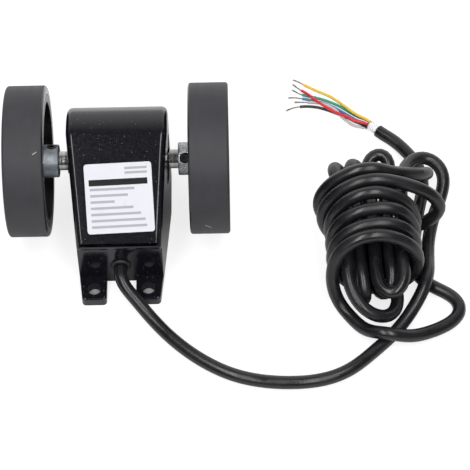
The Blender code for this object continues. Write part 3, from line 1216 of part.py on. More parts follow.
def make_cores():
    """The foil wrap at the end of the sheath, and the six cores that leave it."""
    ahead = np.array(END_DIRECTION) / np.linalg.norm(END_DIRECTION)
    aside = np.array((ahead[1], -ahead[0], 0.0))
    up = np.array((0.0, 0.0, 1.0))
    gap = CLEAR / MM
    foil_start = np.array(TAIL_ROUTE[-1]) + ahead * gap
    foil_end = foil_start + ahead * SHIELD_LENGTH
    foil = [foil_start, (foil_start + foil_end) / 2, foil_end]
    tube("shield_wrap", foil, SHIELD_DIAMETER * MM, 2, label_white())
    curves = []
    for degrees, _, places in CORES.values():
        angle = math.radians(degrees)
        start = foil_end + ahead * gap + (aside * math.cos(angle) + up * math.sin(angle)) * CORE_RING_RADIUS
        curves.append(smooth([start, start + ahead * BARE_LENGTH / 3, *places], CORE_STEP))
    low = (CORE_DIAMETER + CLEAR) / 2 / MM
    laid = spread(curves, CORE_SPACING, low, SPREAD_ROUNDS, held=2)
    for (name, (_, colour, _)), points in zip(CORES.items(), laid):
        along = np.concatenate([[0.0], np.cumsum(np.linalg.norm(np.diff(points, axis=0), axis=1))])
        bare = along[-1] - BARE_LENGTH
        places = sorted([*along, bare, bare + gap / 6])
        path = np.column_stack([np.interp(places, along, points[:, k]) for k in range(3)])
        radii = [BARE_SHARE if place > bare else 1.0 for place in places]
        tube(name, path, CORE_DIAMETER, 2, material(name, colour, 0.4), radii)


def main():
    clear_scene()
    rotor = bpy.data.objects.new("rotor_axis", None)
    balls = {word: bpy.data.objects.new(f"{word}_ball_axis", None) for word in ("left", "right")}
    for empty in (rotor, *balls.values()):
        empty.location = (0.0, 0.0, SHAFT_HEIGHT)
        bpy.context.scene.collection.objects.link(empty)
    make_housing()
    make_label()
    make_base_cover()
    make_shaft(rotor)
    for word, side, angle in (("left", -1, LEFT_SCREW_ANGLE), ("right", 1, RIGHT_SCREW_ANGLE)):
        make_circlip(f"{word}_circlip", side, rotor)
        make_bearing(word, side, rotor, balls[word])
        make_wheel(word, side, angle, rotor)
    make_disc(rotor)
    make_board()
    make_sensor("photo_interrupter_front", -1)
    make_sensor("photo_interrupter_rear", 1)
    make_components()
    make_entry()
    make_inner_cores()
    make_cable()
    make_cores()
    bpy.context.view_layer.update()


main()
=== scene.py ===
# %% [markdown]
# A roller length meter
#
# Two rubber-tyred wheels roll over cloth or cable and turn a shaft. Inside a black cast housing a slotted
# disc on that shaft passes two light gates, and a six-core cable carries the pulses away. The solids of the
# part come in as the frame. Around them the pieces that are seen get their fine shape and their finish.

# %% The frame
import json
import math

import bmesh
import bpy
import numpy as np
from mathutils import Matrix, Vector


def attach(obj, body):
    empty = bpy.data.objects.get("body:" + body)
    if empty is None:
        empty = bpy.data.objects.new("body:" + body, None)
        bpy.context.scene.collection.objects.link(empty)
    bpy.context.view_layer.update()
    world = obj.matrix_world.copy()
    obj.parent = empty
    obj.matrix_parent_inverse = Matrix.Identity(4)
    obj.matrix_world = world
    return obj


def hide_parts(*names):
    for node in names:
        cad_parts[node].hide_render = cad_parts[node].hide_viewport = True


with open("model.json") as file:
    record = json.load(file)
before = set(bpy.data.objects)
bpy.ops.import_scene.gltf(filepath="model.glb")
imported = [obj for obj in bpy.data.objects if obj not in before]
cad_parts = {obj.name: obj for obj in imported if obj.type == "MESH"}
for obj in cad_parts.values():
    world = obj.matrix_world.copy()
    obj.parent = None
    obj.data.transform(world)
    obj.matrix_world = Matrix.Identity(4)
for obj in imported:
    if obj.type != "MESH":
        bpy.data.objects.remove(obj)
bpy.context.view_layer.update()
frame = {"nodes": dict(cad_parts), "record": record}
nodes = frame["nodes"]
MM = 0.001
AXIS = 46
AXIS_HEIGHT = AXIS * MM

# %% [markdown]
# The photograph looks down at the part from in front, at about 55 degrees, from 1.2 m away through a long
# lens. The camera stands a little to the right, because the cable's bundle is part of the picture. Its place
# is worked out from the shaft's middle: so far back along the line of sight, and so far aside.

# %% Camera
PITCH, ROLL = math.radians(54.9), math.radians(1.07)
DISTANCE, ASIDE, ABOVE = 1205 * MM, -61.1 * MM, 39.6 * MM
FOCAL_PIXELS, PICTURE_PIXELS, SENSOR = 2290, 470, 36

ahead = Vector((0, math.cos(PITCH), -math.sin(PITCH)))
level_right, level_up = Vector((1, 0, 0)), Vector((0, math.sin(PITCH), math.cos(PITCH)))
right = math.cos(ROLL) * level_right - math.sin(ROLL) * level_up
up = math.sin(ROLL) * level_right + math.cos(ROLL) * level_up
eye = Vector((0, 0, AXIS_HEIGHT)) - ahead * DISTANCE - right * ASIDE - up * ABOVE

bpy.ops.object.camera_add()
camera = bpy.context.object
camera.name = "camera"
camera.matrix_world = Matrix.Translation(eye) @ Matrix((right, up, -ahead)).transposed().to_4x4()
camera.data.sensor_width = SENSOR
camera.data.lens = FOCAL_PIXELS / PICTURE_PIXELS * SENSOR
camera.data.clip_end = 20
bpy.context.scene.camera = camera
print("camera at", [round(v, 3) for v in eye], "lens", round(camera.data.lens, 1))

# %% [markdown]
# The cable is one round sheath, 7 mm thick and over two metres long. Out of the housing it runs over the
# table to the bundle. There it goes to and fro as a hank, is wrapped round that hank, makes a last loop over
# the table and ends behind the bundle. Its course is given as points in millimetres: tables for the free
# parts, and formulas for the hank's folds and for the wraps, which are rings that advance.

# %% The cable's course
BORE_NEAR_Y, BORE_FAR_Y = -50.0, -6.0
STRANDS = {
    "low_left": (125.2, 14.6), "low_middle": (132.7, 12.2), "low_right": (140.2, 14.2),
    "top_left": (118.0, 24.8), "top_left_middle": (125.5, 21.4), "top_middle": (132.8, 19.2),
    "top_right_middle": (140.4, 21.2), "top_right": (147.2, 22.5),
}
FOLDS = (("top_right", "top_middle", 21.0, 1.5, 0.5, -4.0),
         ("top_middle", "top_right_middle", 19.5, 3.2, 1.0, 6.0),
         ("top_right_middle", "low_middle", 19.0, 1.8, 2.0, -3.5),
         ("low_middle", "top_left_middle", 20.5, 2.2, -3.0, -1.0),
         ("top_left_middle", "low_left", 19.0, 3.2, 3.2, -5.0),
         ("low_left", "top_left", 18.0, 2.0, -3.6, -1.5),
         ("top_left", "low_right", 31.0, 4.4, 3.5, -7.0))
WRAP_CENTRE_X, WRAP_CENTRE_Z, WRAP_RADIUS, WRAP_LEAN = 132.8, 25.4, 21.5, 4.5
WRAP_TOPS_Y = (-13.7, -20.6, -27.2, -38.2, -46.6, -53.6)
WRAP_LIFTS = (1.8, 2.2, 2.4, 0.0, -1.2, 0.0)
WRAP_LEFT_SLACKS = (6.2, 5.0, 0.0, 0.0, 0.0, 0.0)
WRAP_RIGHT_SLACKS = (15.5, 1.0, 0.0, 0.0, 0.0, 0.0)
WRAP_STEPS, LAST_WRAP_STEPS, FOLD_STEPS = 12, 4, 6
BEFORE_HANK = (
    (134.4, -92.1, 3.7), (141.4, -85.8, 3.7), (147.1, -78.2, 4.5), (152.1, -69.9, 7.0), (156.6, -61.8, 10.8),
    (159.0, -51.0, 10.5), (159.5, -41.0, 6.0), (160.0, -27.0, 4.2), (163.5, -12.0, 5.0), (168.5, 0.0, 8.5),
    (170.5, 10.0, 11.5), (167.0, 18.0, 13.5), (159.5, 21.0, 15.0), (151.5, 15.0, 17.0), (148.0, 4.0, 21.0),
)
BEFORE_WRAPS = (
    (144.0, 0.0, 11.8), (151.0, 3.0, 11.8), (157.5, 4.5, 14.5), (162.5, 4.0, 20.5), (163.5, 0.0, 27.0),
    (159.5, -5.5, 33.0), (152.0, -9.5, 38.5), (143.0, -12.5, 43.5),
)
AFTER_WRAPS = (
    (111.6, -63.5, 16.5), (114.2, -67.0, 8.5), (118.0, -71.0, 4.2), (122.5, -77.0, 3.9), (127.0, -82.8, 5.2),
    (132.0, -87.0, 8.3), (138.0, -89.5, 11.3), (147.0, -89.5, 8.5), (157.0, -86.5, 4.0), (168.5, -81.5, 3.8),
    (177.2, -76.5, 3.8), (180.6, -69.0, 3.8), (177.5, -62.5, 3.8), (171.0, -58.5, 3.8), (162.5, -54.0, 3.8),
    (155.5, -46.0, 3.8), (155.4, -34.0, 3.8), (158.0, -21.0, 3.8), (159.5, -7.0, 3.8), (163.0, 5.0, 3.8),
    (163.5, 17.0, 3.8), (159.5, 28.0, 3.8), (152.5, 37.5, 3.8),
)
LEAD_ROUTE = (
    (0.0, -47.7, 14.6), (0.0, -51.2, 14.6), (0.2, -54.8, 14.5), (2.0, -57.9, 12.9), (4.7, -60.8, 11.0),
    (8.2, -64.3, 9.0), (12.0, -68.6, 6.6), (16.2, -73.2, 4.6), (21.0, -79.0, 3.7), (26.5, -85.2, 3.7),
    (33.0, -91.6, 3.7), (41.1, -98.2, 3.7), (50.5, -104.4, 3.7), (61.5, -109.4, 3.7), (76.0, -112.6, 3.7),
    (91.2, -113.4, 3.7), (102.5, -112.4, 3.7), (112.9, -109.4, 3.7), (121.5, -104.2, 3.7),
    (128.6, -97.7, 3.7), (134.2, -92.3, 3.7),
)
TAIL_ROUTE = (
    (152.3, 37.7, 3.7), (150.0, 40.5, 3.7), (147.2, 43.1, 3.7), (143.9, 45.6, 3.7), (140.6, 48.6, 3.7),
)


def fold(start, end, y, out, reach, swell, lean_x, lean_z):
    """The points of a fold that joins two strands, a little wider at its waist than they are."""
    (x1, z1), (x2, z2) = start, end
    apart = math.hypot(x2 - x1, z2 - z1)
    across, rise = (x2 - x1) / apart, (z2 - z1) / apart
    points = []
    for step in range(1, FOLD_STEPS):
        angle = math.pi * step / FOLD_STEPS
        share, bulge = (1 - math.cos(angle)) / 2, math.sin(angle)
        wider = -swell * math.sin(2 * angle)
        points.append((x1 + (x2 - x1) * share + across * wider + lean_x * bulge, y + out * reach * bulge,
                       z1 + (z2 - z1) * share + rise * wider + lean_z * bulge))
    return points


def strand(name, first, last):
    x, z = STRANDS[name]
    return [(x, y, z) for y in (first, (first + last) / 2, last)]


def hank():
    """The strands through the bore and the folds between them, from far to near and back."""
    points, first, last = [], BORE_FAR_Y, BORE_NEAR_Y
    for start, end, *shape in FOLDS:
        points += strand(start, first, last)
        points += fold(STRANDS[start], STRANDS[end], last, math.copysign(1, last - first), *shape)
        first, last = last, first
    return points + strand(end, first, last)


def wraps():
    """The turns round the hank. Each one starts at its top and goes down its left side first."""
    points = []
    ends = WRAP_TOPS_Y[1:] + (2 * WRAP_TOPS_Y[-1] - WRAP_TOPS_Y[-2],)
    for turn, (first, last) in enumerate(zip(WRAP_TOPS_Y, ends)):
        steps = WRAP_STEPS if turn < len(WRAP_TOPS_Y) - 1 else LAST_WRAP_STEPS
        for step in range(steps):
            angle = 2 * math.pi * step / WRAP_STEPS
            side, height = math.sin(angle), math.cos(angle)
            slack = WRAP_LEFT_SLACKS[turn] if side > 0 else WRAP_RIGHT_SLACKS[turn]
            lift = WRAP_LIFTS[turn] * max(0.0, height)
            points.append((WRAP_CENTRE_X - (WRAP_RADIUS + slack * abs(side)) * side,
                           first + (last - first) * step / WRAP_STEPS + WRAP_LEAN * (height - 1),
                           WRAP_CENTRE_Z + (WRAP_RADIUS + lift) * height))
    return points


bundle = [*BEFORE_HANK, *hank(), *BEFORE_WRAPS, *wraps(), *AFTER_WRAPS]
print(len(bundle), "points in the bundle")

# %% [markdown]
# A cable bends evenly, so a smooth curve goes through the points. Two strands can't share a place either:
# where the points bring them closer than a cable's width, both give way a little, and the shift is evened
# out along the cable, as its stiffness would do. The same two steps serve the thin cores at the bare end.
# Where the cable lies on the table, and then once more all along, its bends are evened out.


# %% A smooth course that keeps clear of itself
CURVE_PARTS, PUSH_SHARE, EVEN_SHARE, SPREAD_ROUNDS, NEIGHBOURS = 20, 0.5, 0.4, 800, 4


def lengths_along(points):
    return np.concatenate([[0.0], np.cumsum(np.linalg.norm(np.diff(points, axis=0), axis=1))])


def smooth(points, step):
    """Evenly spaced points along a centripetal Catmull-Rom curve through the given ones."""
    p = np.array(points, float)
    p = np.vstack([2 * p[0] - p[1], p, 2 * p[-1] - p[-2]])
    knots = np.concatenate([[0.0], np.cumsum(np.sqrt(np.linalg.norm(np.diff(p, axis=0), axis=1)))])
    fine = []
    for i in range(1, len(p) - 2):
        (t0, t1, t2, t3), (a, b, c, d) = knots[i - 1:i + 3], p[i - 1:i + 3]
        for t in np.linspace(t1, t2, CURVE_PARTS, endpoint=False):
            ab = ((t1 - t) * a + (t - t0) * b) / (t1 - t0)
            bc = ((t2 - t) * b + (t - t1) * c) / (t2 - t1)
            cd = ((t3 - t) * c + (t - t2) * d) / (t3 - t2)
            abc = ((t2 - t) * ab + (t - t0) * bc) / (t2 - t0)
            bcd = ((t3 - t) * bc + (t - t1) * cd) / (t3 - t1)
            fine.append(((t2 - t) * abc + (t - t1) * bcd) / (t2 - t1))
    fine = np.array(fine + [p[-2]])
    along = lengths_along(fine)
    count = max(2, round(along[-1] / step))
    places = np.linspace(0.0, along[-1], count + 1)
    return np.column_stack([np.interp(places, along, fine[:, k]) for k in range(3)])


def spread(curves, spacing, floor, held=3):
    """Moves strands that lie too close apart, by a shift that changes smoothly along each curve."""
    rest = np.vstack(curves)
    owner = np.concatenate([np.full(len(curve), number) for number, curve in enumerate(curves)])
    index = np.arange(len(rest), dtype=float)
    joined = owner[:-1] == owner[1:]
    others = ((index, owner), ((index[:-1] + 0.5)[joined], owner[:-1][joined]))
    allowed = [(np.abs(index[:, None] - places) > NEIGHBOURS) | (owner[:, None] != owners)
               for places, owners in others]
    first = np.concatenate([np.arange(len(curve)) for curve in curves])
    last = np.concatenate([np.arange(len(curve))[::-1] for curve in curves])
    free, inner = (first >= held) & (last >= held), (first > 0) & (last > 0)
    shift = np.zeros_like(rest)
    for _ in range(SPREAD_ROUNDS):
        p = rest + shift
        middles = ((p[:-1] + p[1:]) / 2)[joined]
        push, hits = np.zeros_like(p), np.zeros(len(p))
        for points, far_enough in zip((p, middles), allowed):
            gap = p[:, None, :] - points[None, :, :]
            away = np.linalg.norm(gap, axis=2) + 1e-9
            need = np.where(far_enough, np.maximum(0.0, spacing - away), 0.0)
            push += (gap * (need / away)[:, :, None]).sum(axis=1)
            hits += (need > 0).sum(axis=1)
        shift += np.where(free[:, None], PUSH_SHARE * push / np.maximum(1.0, hits)[:, None], 0.0)
        evener = (1 - EVEN_SHARE) * shift + EVEN_SHARE * between(shift)
        shift = np.where(inner[:, None], evener, shift)
        shift = np.where(free[:, None], shift, 0.0)
        shift[:, 2] = np.maximum(shift[:, 2], floor - rest[:, 2])
    moved = rest + shift
    return [moved[owner == number] for number in range(len(curves))]


def between(points):
    return (np.roll(points, 1, axis=0) + np.roll(points, -1, axis=0)) / 2


def evened(points, where, rounds):
    """Draws the chosen points half the way to the middle between their neighbours, several times."""
    for _ in range(rounds):
        points = points + 0.5 * where[:, None] * (between(points) - points)
    return points


CABLE_WIDTH, CORE_WIDTH, GAP = 7.0, 1.6, 0.3
ROUTE_STEP, COURSE_STEP, STRAND_SPACING = 6.7, 2.4, 8.3
ON_TABLE, LEAD_END_X, BORE_START_Y = 5.5, 150, -60

wound = spread([smooth(bundle, ROUTE_STEP)], STRAND_SPACING, (CABLE_WIDTH + GAP) / 2)[0]
course = smooth([*LEAD_ROUTE[:-1], *wound, *TAIL_ROUTE[1:]], COURSE_STEP)
number = np.arange(len(course))
from_end = np.minimum(number, number[::-1])
under_wraps = (course[:, 0] < LEAD_END_X) & (course[:, 1] > BORE_START_Y)
course = evened(course, (course[:, 2] < ON_TABLE) & ~under_wraps & (from_end >= 6), 12)
course = evened(course, from_end >= 3, 4)
apart = np.linalg.norm(course[:, None] - course[None], axis=2)
apart[np.abs(number[:, None] - number) < 2 * NEIGHBOURS] = np.inf
print("cable", round(lengths_along(course)[-1] * MM, 3), "m")
print("least gap", round(apart.min() - CABLE_WIDTH, 2), "mm")

# %% [markdown]
# A curve through the course, with a round bevel, makes the sheath. The cores and their strands are thinner
# tubes of the same kind.


# %% The sheath
def tube(name, points, width, sides=16):
    """A round tube along points given in millimetres, as a curve with a round bevel."""
    line = bpy.data.curves.new(name, "CURVE")
    line.dimensions, line.use_fill_caps = "3D", True
    line.bevel_depth, line.bevel_resolution = width * MM / 2, sides // 2 - 2
    spline = line.splines.new("POLY")
    spline.points.add(len(points) - 1)
    spline.use_smooth = True
    for point, place in zip(spline.points, points):
        point.co = (*(float(v) * MM for v in place), 1.0)
    made = bpy.data.objects.new(name, line)
    bpy.context.scene.collection.objects.link(made)
    return made


cable = tube("cable", course, CABLE_WIDTH - 0.04)
print("sheath through", len(course), "points")

# %% [markdown]
# Where the sheath ends, a thin white wrap still holds the six cores together for a few millimetres. The
# cores fan out behind it. Each one has a coloured skin, and the last 7 mm are stripped: seven tinned strands,
# twisted round each other.

# %% The bare end
CORES = {
    "green": (0, ((129.5, 60.2, 1.9), (124.2, 65.1, 1.0), (119.9, 68.6, 1.0), (113.3, 72.4, 1.0),
                  (107.2, 74.9, 1.0), (98.3, 77.6, 1.0), (93.3, 80.2, 1.0))),
    "yellow": (60, ((129.4, 59.6, 4.2), (123.6, 65.9, 2.8), (118.9, 71.5, 1.6), (114.0, 76.0, 1.0),
                    (107.4, 79.8, 1.0), (100.8, 84.2, 1.0), (95.2, 88.7, 1.0))),
    "red": (120, ((129.7, 53.9, 4.8), (125.4, 56.9, 4.8), (120.6, 60.4, 3.6), (115.2, 64.2, 2.9),
                  (107.0, 71.2, 2.9), (102.7, 75.9, 2.6), (98.4, 80.2, 1.6), (93.6, 84.2, 1.0))),
    "black": (180, ((129.3, 55.7, 2.4), (123.4, 60.5, 1.4), (115.8, 64.7, 1.0), (108.1, 67.9, 1.0),
                    (102.0, 68.8, 1.0), (96.4, 68.4, 1.0), (90.8, 66.6, 1.0))),
    "white": (240, ((130.4, 52.9, 1.4), (125.5, 55.9, 1.4), (121.2, 60.0, 2.0), (118.0, 64.2, 2.9),
                    (112.0, 68.6, 2.8), (104.8, 71.1, 1.8), (99.8, 71.6, 1.0), (94.3, 71.2, 1.0))),
    "blue": (300, ((129.5, 58.3, 1.0), (123.5, 62.9, 1.0), (118.1, 67.0, 1.0), (112.7, 70.3, 1.0),
                   (106.6, 72.6, 1.0), (99.3, 74.4, 1.0), (92.1, 75.6, 1.0))),
}
END_DIRECTION, WRAP_LENGTH, WRAP_WIDTH, CORE_RING, BARE_LENGTH = (-0.74, 0.67, 0.0), 5.6, 5.4, 2.05, 7.0
STRAND_WIDTH, STRAND_RING, STRAND_PITCH, STRAND_OPENING = 0.25, 0.26, 5.0, 0.55
CORE_STEP, CORE_SPACING, CORE_FINE_STEP = 4.4, 2.15, 0.5
TIP_LIFT = 0.5
TIP_BENDS = {"green": 0.8, "yellow": -1.0, "red": 0.9, "black": -1.1, "white": 0.8, "blue": -0.7}

onward = np.array(END_DIRECTION) / np.linalg.norm(END_DIRECTION)
sideways, upward = np.array((onward[1], -onward[0], 0.0)), np.array((0.0, 0.0, 1.0))
wrap_start = np.array(TAIL_ROUTE[-1]) + onward * GAP
wrap_end = wrap_start + onward * WRAP_LENGTH
starts = [wrap_end + onward * GAP + (sideways * math.cos(a) + upward * math.sin(a)) * CORE_RING
          for a in (math.radians(degrees) for degrees, _ in CORES.values())]
laid = spread([smooth([start, start + onward * BARE_LENGTH / 3, *places], CORE_STEP)
               for start, (_, places) in zip(starts, CORES.values())],
              CORE_SPACING, (CORE_WIDTH + GAP) / 2, held=2)


def strands(name, points):
    """Seven thin strands along the points: one in the middle and six twisted round it."""
    run = np.diff(points, axis=0)
    run = np.vstack([run, run[-1:]])
    run /= np.linalg.norm(run, axis=1)[:, None]
    flat = np.cross(run, upward)
    flat /= np.linalg.norm(flat, axis=1)[:, None]
    high = np.cross(flat, run)
    along = lengths_along(points)
    opening = 1 + STRAND_OPENING * (along / along[-1]) ** 2
    made = []
    for count in range(7):
        angle = 2 * math.pi * (count / 6 + along / STRAND_PITCH)
        ring = 0.0 if count == 6 else STRAND_RING
        place = points + ring * (opening * np.cos(angle))[:, None] * flat
        place = place + ring * (opening * np.sin(angle))[:, None] * high
        made.append(tube(f"{name}_strand", place[:len(place) - count % 3], STRAND_WIDTH, sides=8))
    bpy.ops.object.select_all(action="DESELECT")
    for piece in made:
        piece.select_set(True)
    bpy.context.view_layer.objects.active = made[0]
    bpy.ops.object.convert(target="MESH")
    bpy.ops.object.join()
    made[0].name = name
    return made[0]


cores, tips = {}, {}
for (colour, _), points in zip(CORES.items(), laid):
    fine = smooth(points, CORE_FINE_STEP)
    along = lengths_along(fine)
    stripped = int(np.searchsorted(along, along[-1] - BARE_LENGTH))
    cores[colour] = tube(f"{colour}_wire", fine[:stripped:2], CORE_WIDTH - 0.02, sides=12)
    tip = fine[stripped - 3:]
    rise = np.linspace(0.0, 1.0, len(tip))[:, None]
    tip = tip + TIP_BENDS[colour] * rise ** 2 * sideways + TIP_LIFT * np.sin(3 * rise) * rise * upward
    tips[colour] = strands(f"{colour}_wire_tip", tip)
    print(colour, round(float(along[stripped]), 1), "mm of skin")

# %% [markdown]
# Every other piece is drawn and then turned, extruded, cut or bevelled. A section is drawn point by point
# from a single corner. Round pieces are such a section spun once round their axis, and plates and castings
# are an outline that is filled and extruded.


# %% Drawing, spinning and extruding
def edit():
    bpy.ops.object.mode_set(mode="EDIT")


def pick(piece):
    """Selects one piece alone."""
    bpy.ops.object.select_all(action="DESELECT")
    bpy.context.view_layer.objects.active = piece
    piece.select_set(True)


def done(name, angle=30):
    """Leaves edit mode, names the piece and shades it smooth up to an angle."""
    bpy.ops.object.mode_set(mode="OBJECT")
    piece = bpy.context.object
    piece.name = piece.data.name = name
    bpy.ops.object.shade_smooth_by_angle(angle=math.radians(angle))
    return piece


def draw(points, closed=True):
    """Draws a line from point to point in a new object, which stays in edit mode."""
    points = [Vector(point) for point in points]
    bpy.ops.object.select_all(action="DESELECT")
    bpy.ops.mesh.primitive_plane_add(size=MM, location=(0, 0, 0))
    edit()
    bpy.ops.mesh.select_mode(type="VERT")
    bpy.ops.mesh.select_all(action="SELECT")
    bpy.ops.mesh.merge(type="CENTER")
    bpy.ops.transform.translate(value=points[0])
    stops = points[1:] + points[:1] if closed else points[1:]
    for here, there in zip(points, stops):
        bpy.ops.mesh.extrude_region_move(TRANSFORM_OT_translate={"value": there - here})
    bpy.ops.mesh.select_all(action="SELECT")
    bpy.ops.mesh.remove_doubles(threshold=MM / 1000)


def face_out():
    bpy.ops.mesh.select_all(action="SELECT")
    bpy.ops.mesh.remove_doubles(threshold=MM / 1000)
    bpy.ops.mesh.normals_make_consistent(inside=False)


def spun(name, points, steps, centre, axis, closed=True):
    """A section that is spun once round an axis."""
    draw(points, closed)
    bpy.ops.mesh.spin(steps=steps, angle=2 * math.pi, center=centre, axis=axis)
    face_out()
    return done(name)


def lathe(name, section, steps, closed=True):
    """A round piece on the shaft's axis: a section of (place along X, radius), both in mm."""
    points = [(x * MM, 0, AXIS_HEIGHT + r * MM) for x, r in section]
    return spun(name, points, steps, (0, 0, AXIS_HEIGHT), (1, 0, 0), closed)


def slab(name, outline, step):
    """A filled outline that is extruded by a step, all in mm."""
    draw([Vector(point) * MM for point in outline])
    bpy.ops.mesh.edge_face_add()
    bpy.ops.mesh.extrude_region_move(TRANSFORM_OT_translate={"value": Vector(step) * MM})
    face_out()
    return done(name)


def rod(name, radius, low, high, place=(0, 0), axis="Z", sides=64):
    """A round bar in mm, from low to high along an axis, with its middle at a place in the other two."""
    spot = list(place)
    spot.insert("XYZ".index(axis), (low + high) / 2)
    turn = {"X": (0, math.pi / 2, 0), "Y": (math.pi / 2, 0, 0), "Z": (0, 0, 0)}[axis]
    bpy.ops.object.select_all(action="DESELECT")
    bpy.ops.mesh.primitive_cylinder_add(vertices=sides, radius=radius * MM, depth=(high - low) * MM,
                                        location=Vector(spot) * MM, rotation=turn)
    bpy.ops.object.transform_apply(location=True, rotation=True, scale=True)
    return done(name)


print("drawn points closer than", MM / 1000, "m become one")

# %% [markdown]
# Pieces are joined or cut with one another, sharp edges are rounded, and what is needed again or elsewhere
# is copied there.

# %% Combining, rounding and copying
SHARP, CORNER_STEPS = math.radians(40), 8


def combine(piece, other, operation):
    """A Boolean of two pieces, which uses up the second one."""
    pick(piece)
    step = piece.modifiers.new("combine", "BOOLEAN")
    step.operation, step.solver, step.object = operation, "MANIFOLD", other
    bpy.ops.object.modifier_apply(modifier=step.name)
    bpy.data.objects.remove(other, do_unlink=True)
    return piece


def round_edges(piece, test, radius, segments, held=True):
    """Rounds the edges whose faces meet at a sharp angle and whose middle passes a test, in mm."""
    pick(piece)
    edit()
    bpy.ops.mesh.select_all(action="DESELECT")
    bpy.ops.mesh.select_mode(type="EDGE")
    mesh = bmesh.from_edit_mesh(piece.data)
    count = 0
    for edge in mesh.edges:
        first, last = (vert.co / MM for vert in edge.verts)
        if len(edge.link_faces) == 2 and edge.calc_face_angle() > SHARP:
            edge.select = test((first + last) / 2, last - first)
            count += edge.select
    bmesh.update_edit_mesh(piece.data)
    bpy.ops.mesh.bevel(offset=radius * MM, offset_type="OFFSET", segments=segments, profile=0.5,
                       affect="EDGES", clamp_overlap=held)
    face_out()
    bpy.ops.object.mode_set(mode="OBJECT")
    return count


def copied(piece, name, matrix):
    """A copy with a mesh of its own, moved to its place in that mesh."""
    pick(piece)
    bpy.ops.object.duplicate()
    copy = bpy.context.object
    copy.name = copy.data.name = name
    copy.matrix_world = matrix
    bpy.ops.object.transform_apply(location=True, rotation=True, scale=True)
    return copy


def moved(piece, name, matrix):
    """The same, without the piece it was copied from."""
    made = copied(piece, name, matrix)
    bpy.data.objects.remove(piece, do_unlink=True)
    return made


def rounded(width, height, radius):
    """A rectangle round the origin with rounded corners, as (x, y) in mm."""
    outline = []
    for side_x, side_y, start in ((1, 1, 0), (-1, 1, 1), (-1, -1, 2), (1, -1, 3)):
        for step in range(CORNER_STEPS + 1):
            a = (start + step / CORNER_STEPS) * math.pi / 2
            outline.append((side_x * (width / 2 - radius) + radius * math.cos(a),
                            side_y * (height / 2 - radius) + radius * math.sin(a)))
    return outline


print("edges over", round(math.degrees(SHARP)), "degrees can be rounded")

# %% [markdown]
# The housing is a die casting, painted gloss black. From the side it has an upright back, a rounded top and a
# sloping front face that ends in a lip over the cable. In plan it narrows towards the front. So the side
# outline is extruded to the full width, and an extruded plan outline is intersected with it. The edges are
# rounded after that, as the mould's are, and the hollow is cut last.

# %% The housing's outside
WALL, HALF_WIDTH, TAPER_FROM, TAPER = 3.5, 26.2, -2.0, 0.091
BACK, FRONT, LIP, LIP_HEIGHT, NOSE, UNDERCUT = 23.8, -45.8, -49.3, 34.2, 3.4, 2.3
FACE_RISE, CROWN = math.radians(44), 22.0
LIP_CORNER, EDGE, NOSE_EDGE, PEDESTAL_EDGE, CROWN_PARTS = 3.6, 3.1, 0.5, 3.0, 30
CLOSE, FACE_MIDDLE, BEYOND, TALL = 0.3, 7, 3, 90


def half_width(y):
    return HALF_WIDTH - TAPER * max(0.0, TAPER_FROM - y)


def crown(radius):
    """The rounded top from the back wall over to the sloping face."""
    middle_y = BACK - CROWN
    middle_z = LIP_HEIGHT + ((middle_y - LIP) * math.sin(FACE_RISE) - CROWN) / math.cos(FACE_RISE)
    sweep = (math.pi / 2 + FACE_RISE) / CROWN_PARTS
    return [(middle_y + radius * math.cos(sweep * i), middle_z + radius * math.sin(sweep * i))
            for i in range(CROWN_PARTS + 1)]


def plan(name, inset, low, high):
    corners = [(half_width(FRONT - 20) - inset, FRONT - 20), (half_width(TAPER_FROM) - inset, TAPER_FROM),
               (HALF_WIDTH - inset, BACK + 20)]
    outline = corners + [(-x, y) for x, y in reversed(corners)]
    return slab(name, [(x, y, low) for x, y in outline], (0, 0, high - low))


side = ([(FRONT, 0.0), (BACK, 0.0)] + crown(CROWN)
        + [(LIP, LIP_HEIGHT), (LIP + UNDERCUT, LIP_HEIGHT - NOSE), (FRONT, LIP_HEIGHT - NOSE)])
housing = slab("housing", [(-HALF_WIDTH - 1, y, z) for y, z in side], (2 * HALF_WIDTH + 2, 0, 0))
combine(housing, plan("plan", 0, -1, TALL), "INTERSECT")
lip_edges = round_edges(housing, lambda middle, run: middle.y < FRONT - CLOSE and abs(run.z) > NOSE / 2
                        and middle.z < LIP_HEIGHT, LIP_CORNER, 6)
hood_edges = round_edges(housing, lambda middle, run: middle.z > LIP_HEIGHT - CLOSE and not (
    abs(middle.x) < FACE_MIDDLE and middle.z > LIP_HEIGHT + CLOSE), EDGE, 6, held=False)
nose_edges = round_edges(housing, lambda middle, run: middle.y < FRONT - CLOSE and middle.z < LIP_HEIGHT - 1
                         and abs(run.z) < NOSE_EDGE, NOSE_EDGE, 2)
post_edges = round_edges(housing, lambda middle, run: middle.z < LIP_HEIGHT - NOSE and abs(run.z) > NOSE,
                         PEDESTAL_EDGE, 4)
print("edges rounded:", lip_edges, hood_edges, nose_edges, post_edges)

# %% [markdown]
# Four tabs stand out at the foot of the housing, two in front and two behind, each with a hole for a screw.
# They are flat plates with rounded corners. Seen from above their top edges are softened by the paint.

# %% Tabs
TAB_LENGTH, TAB_HEIGHT, TAB_GAP, TAB_CORNER, TAB_EDGE, TAB_HOLE = 15.3, 5.5, 15.5, 2.1, 0.8, 7.0
TAB_HOLE_FROM_WALL, REAR_TAB_HALF_WIDTH = 8.6, 23.0


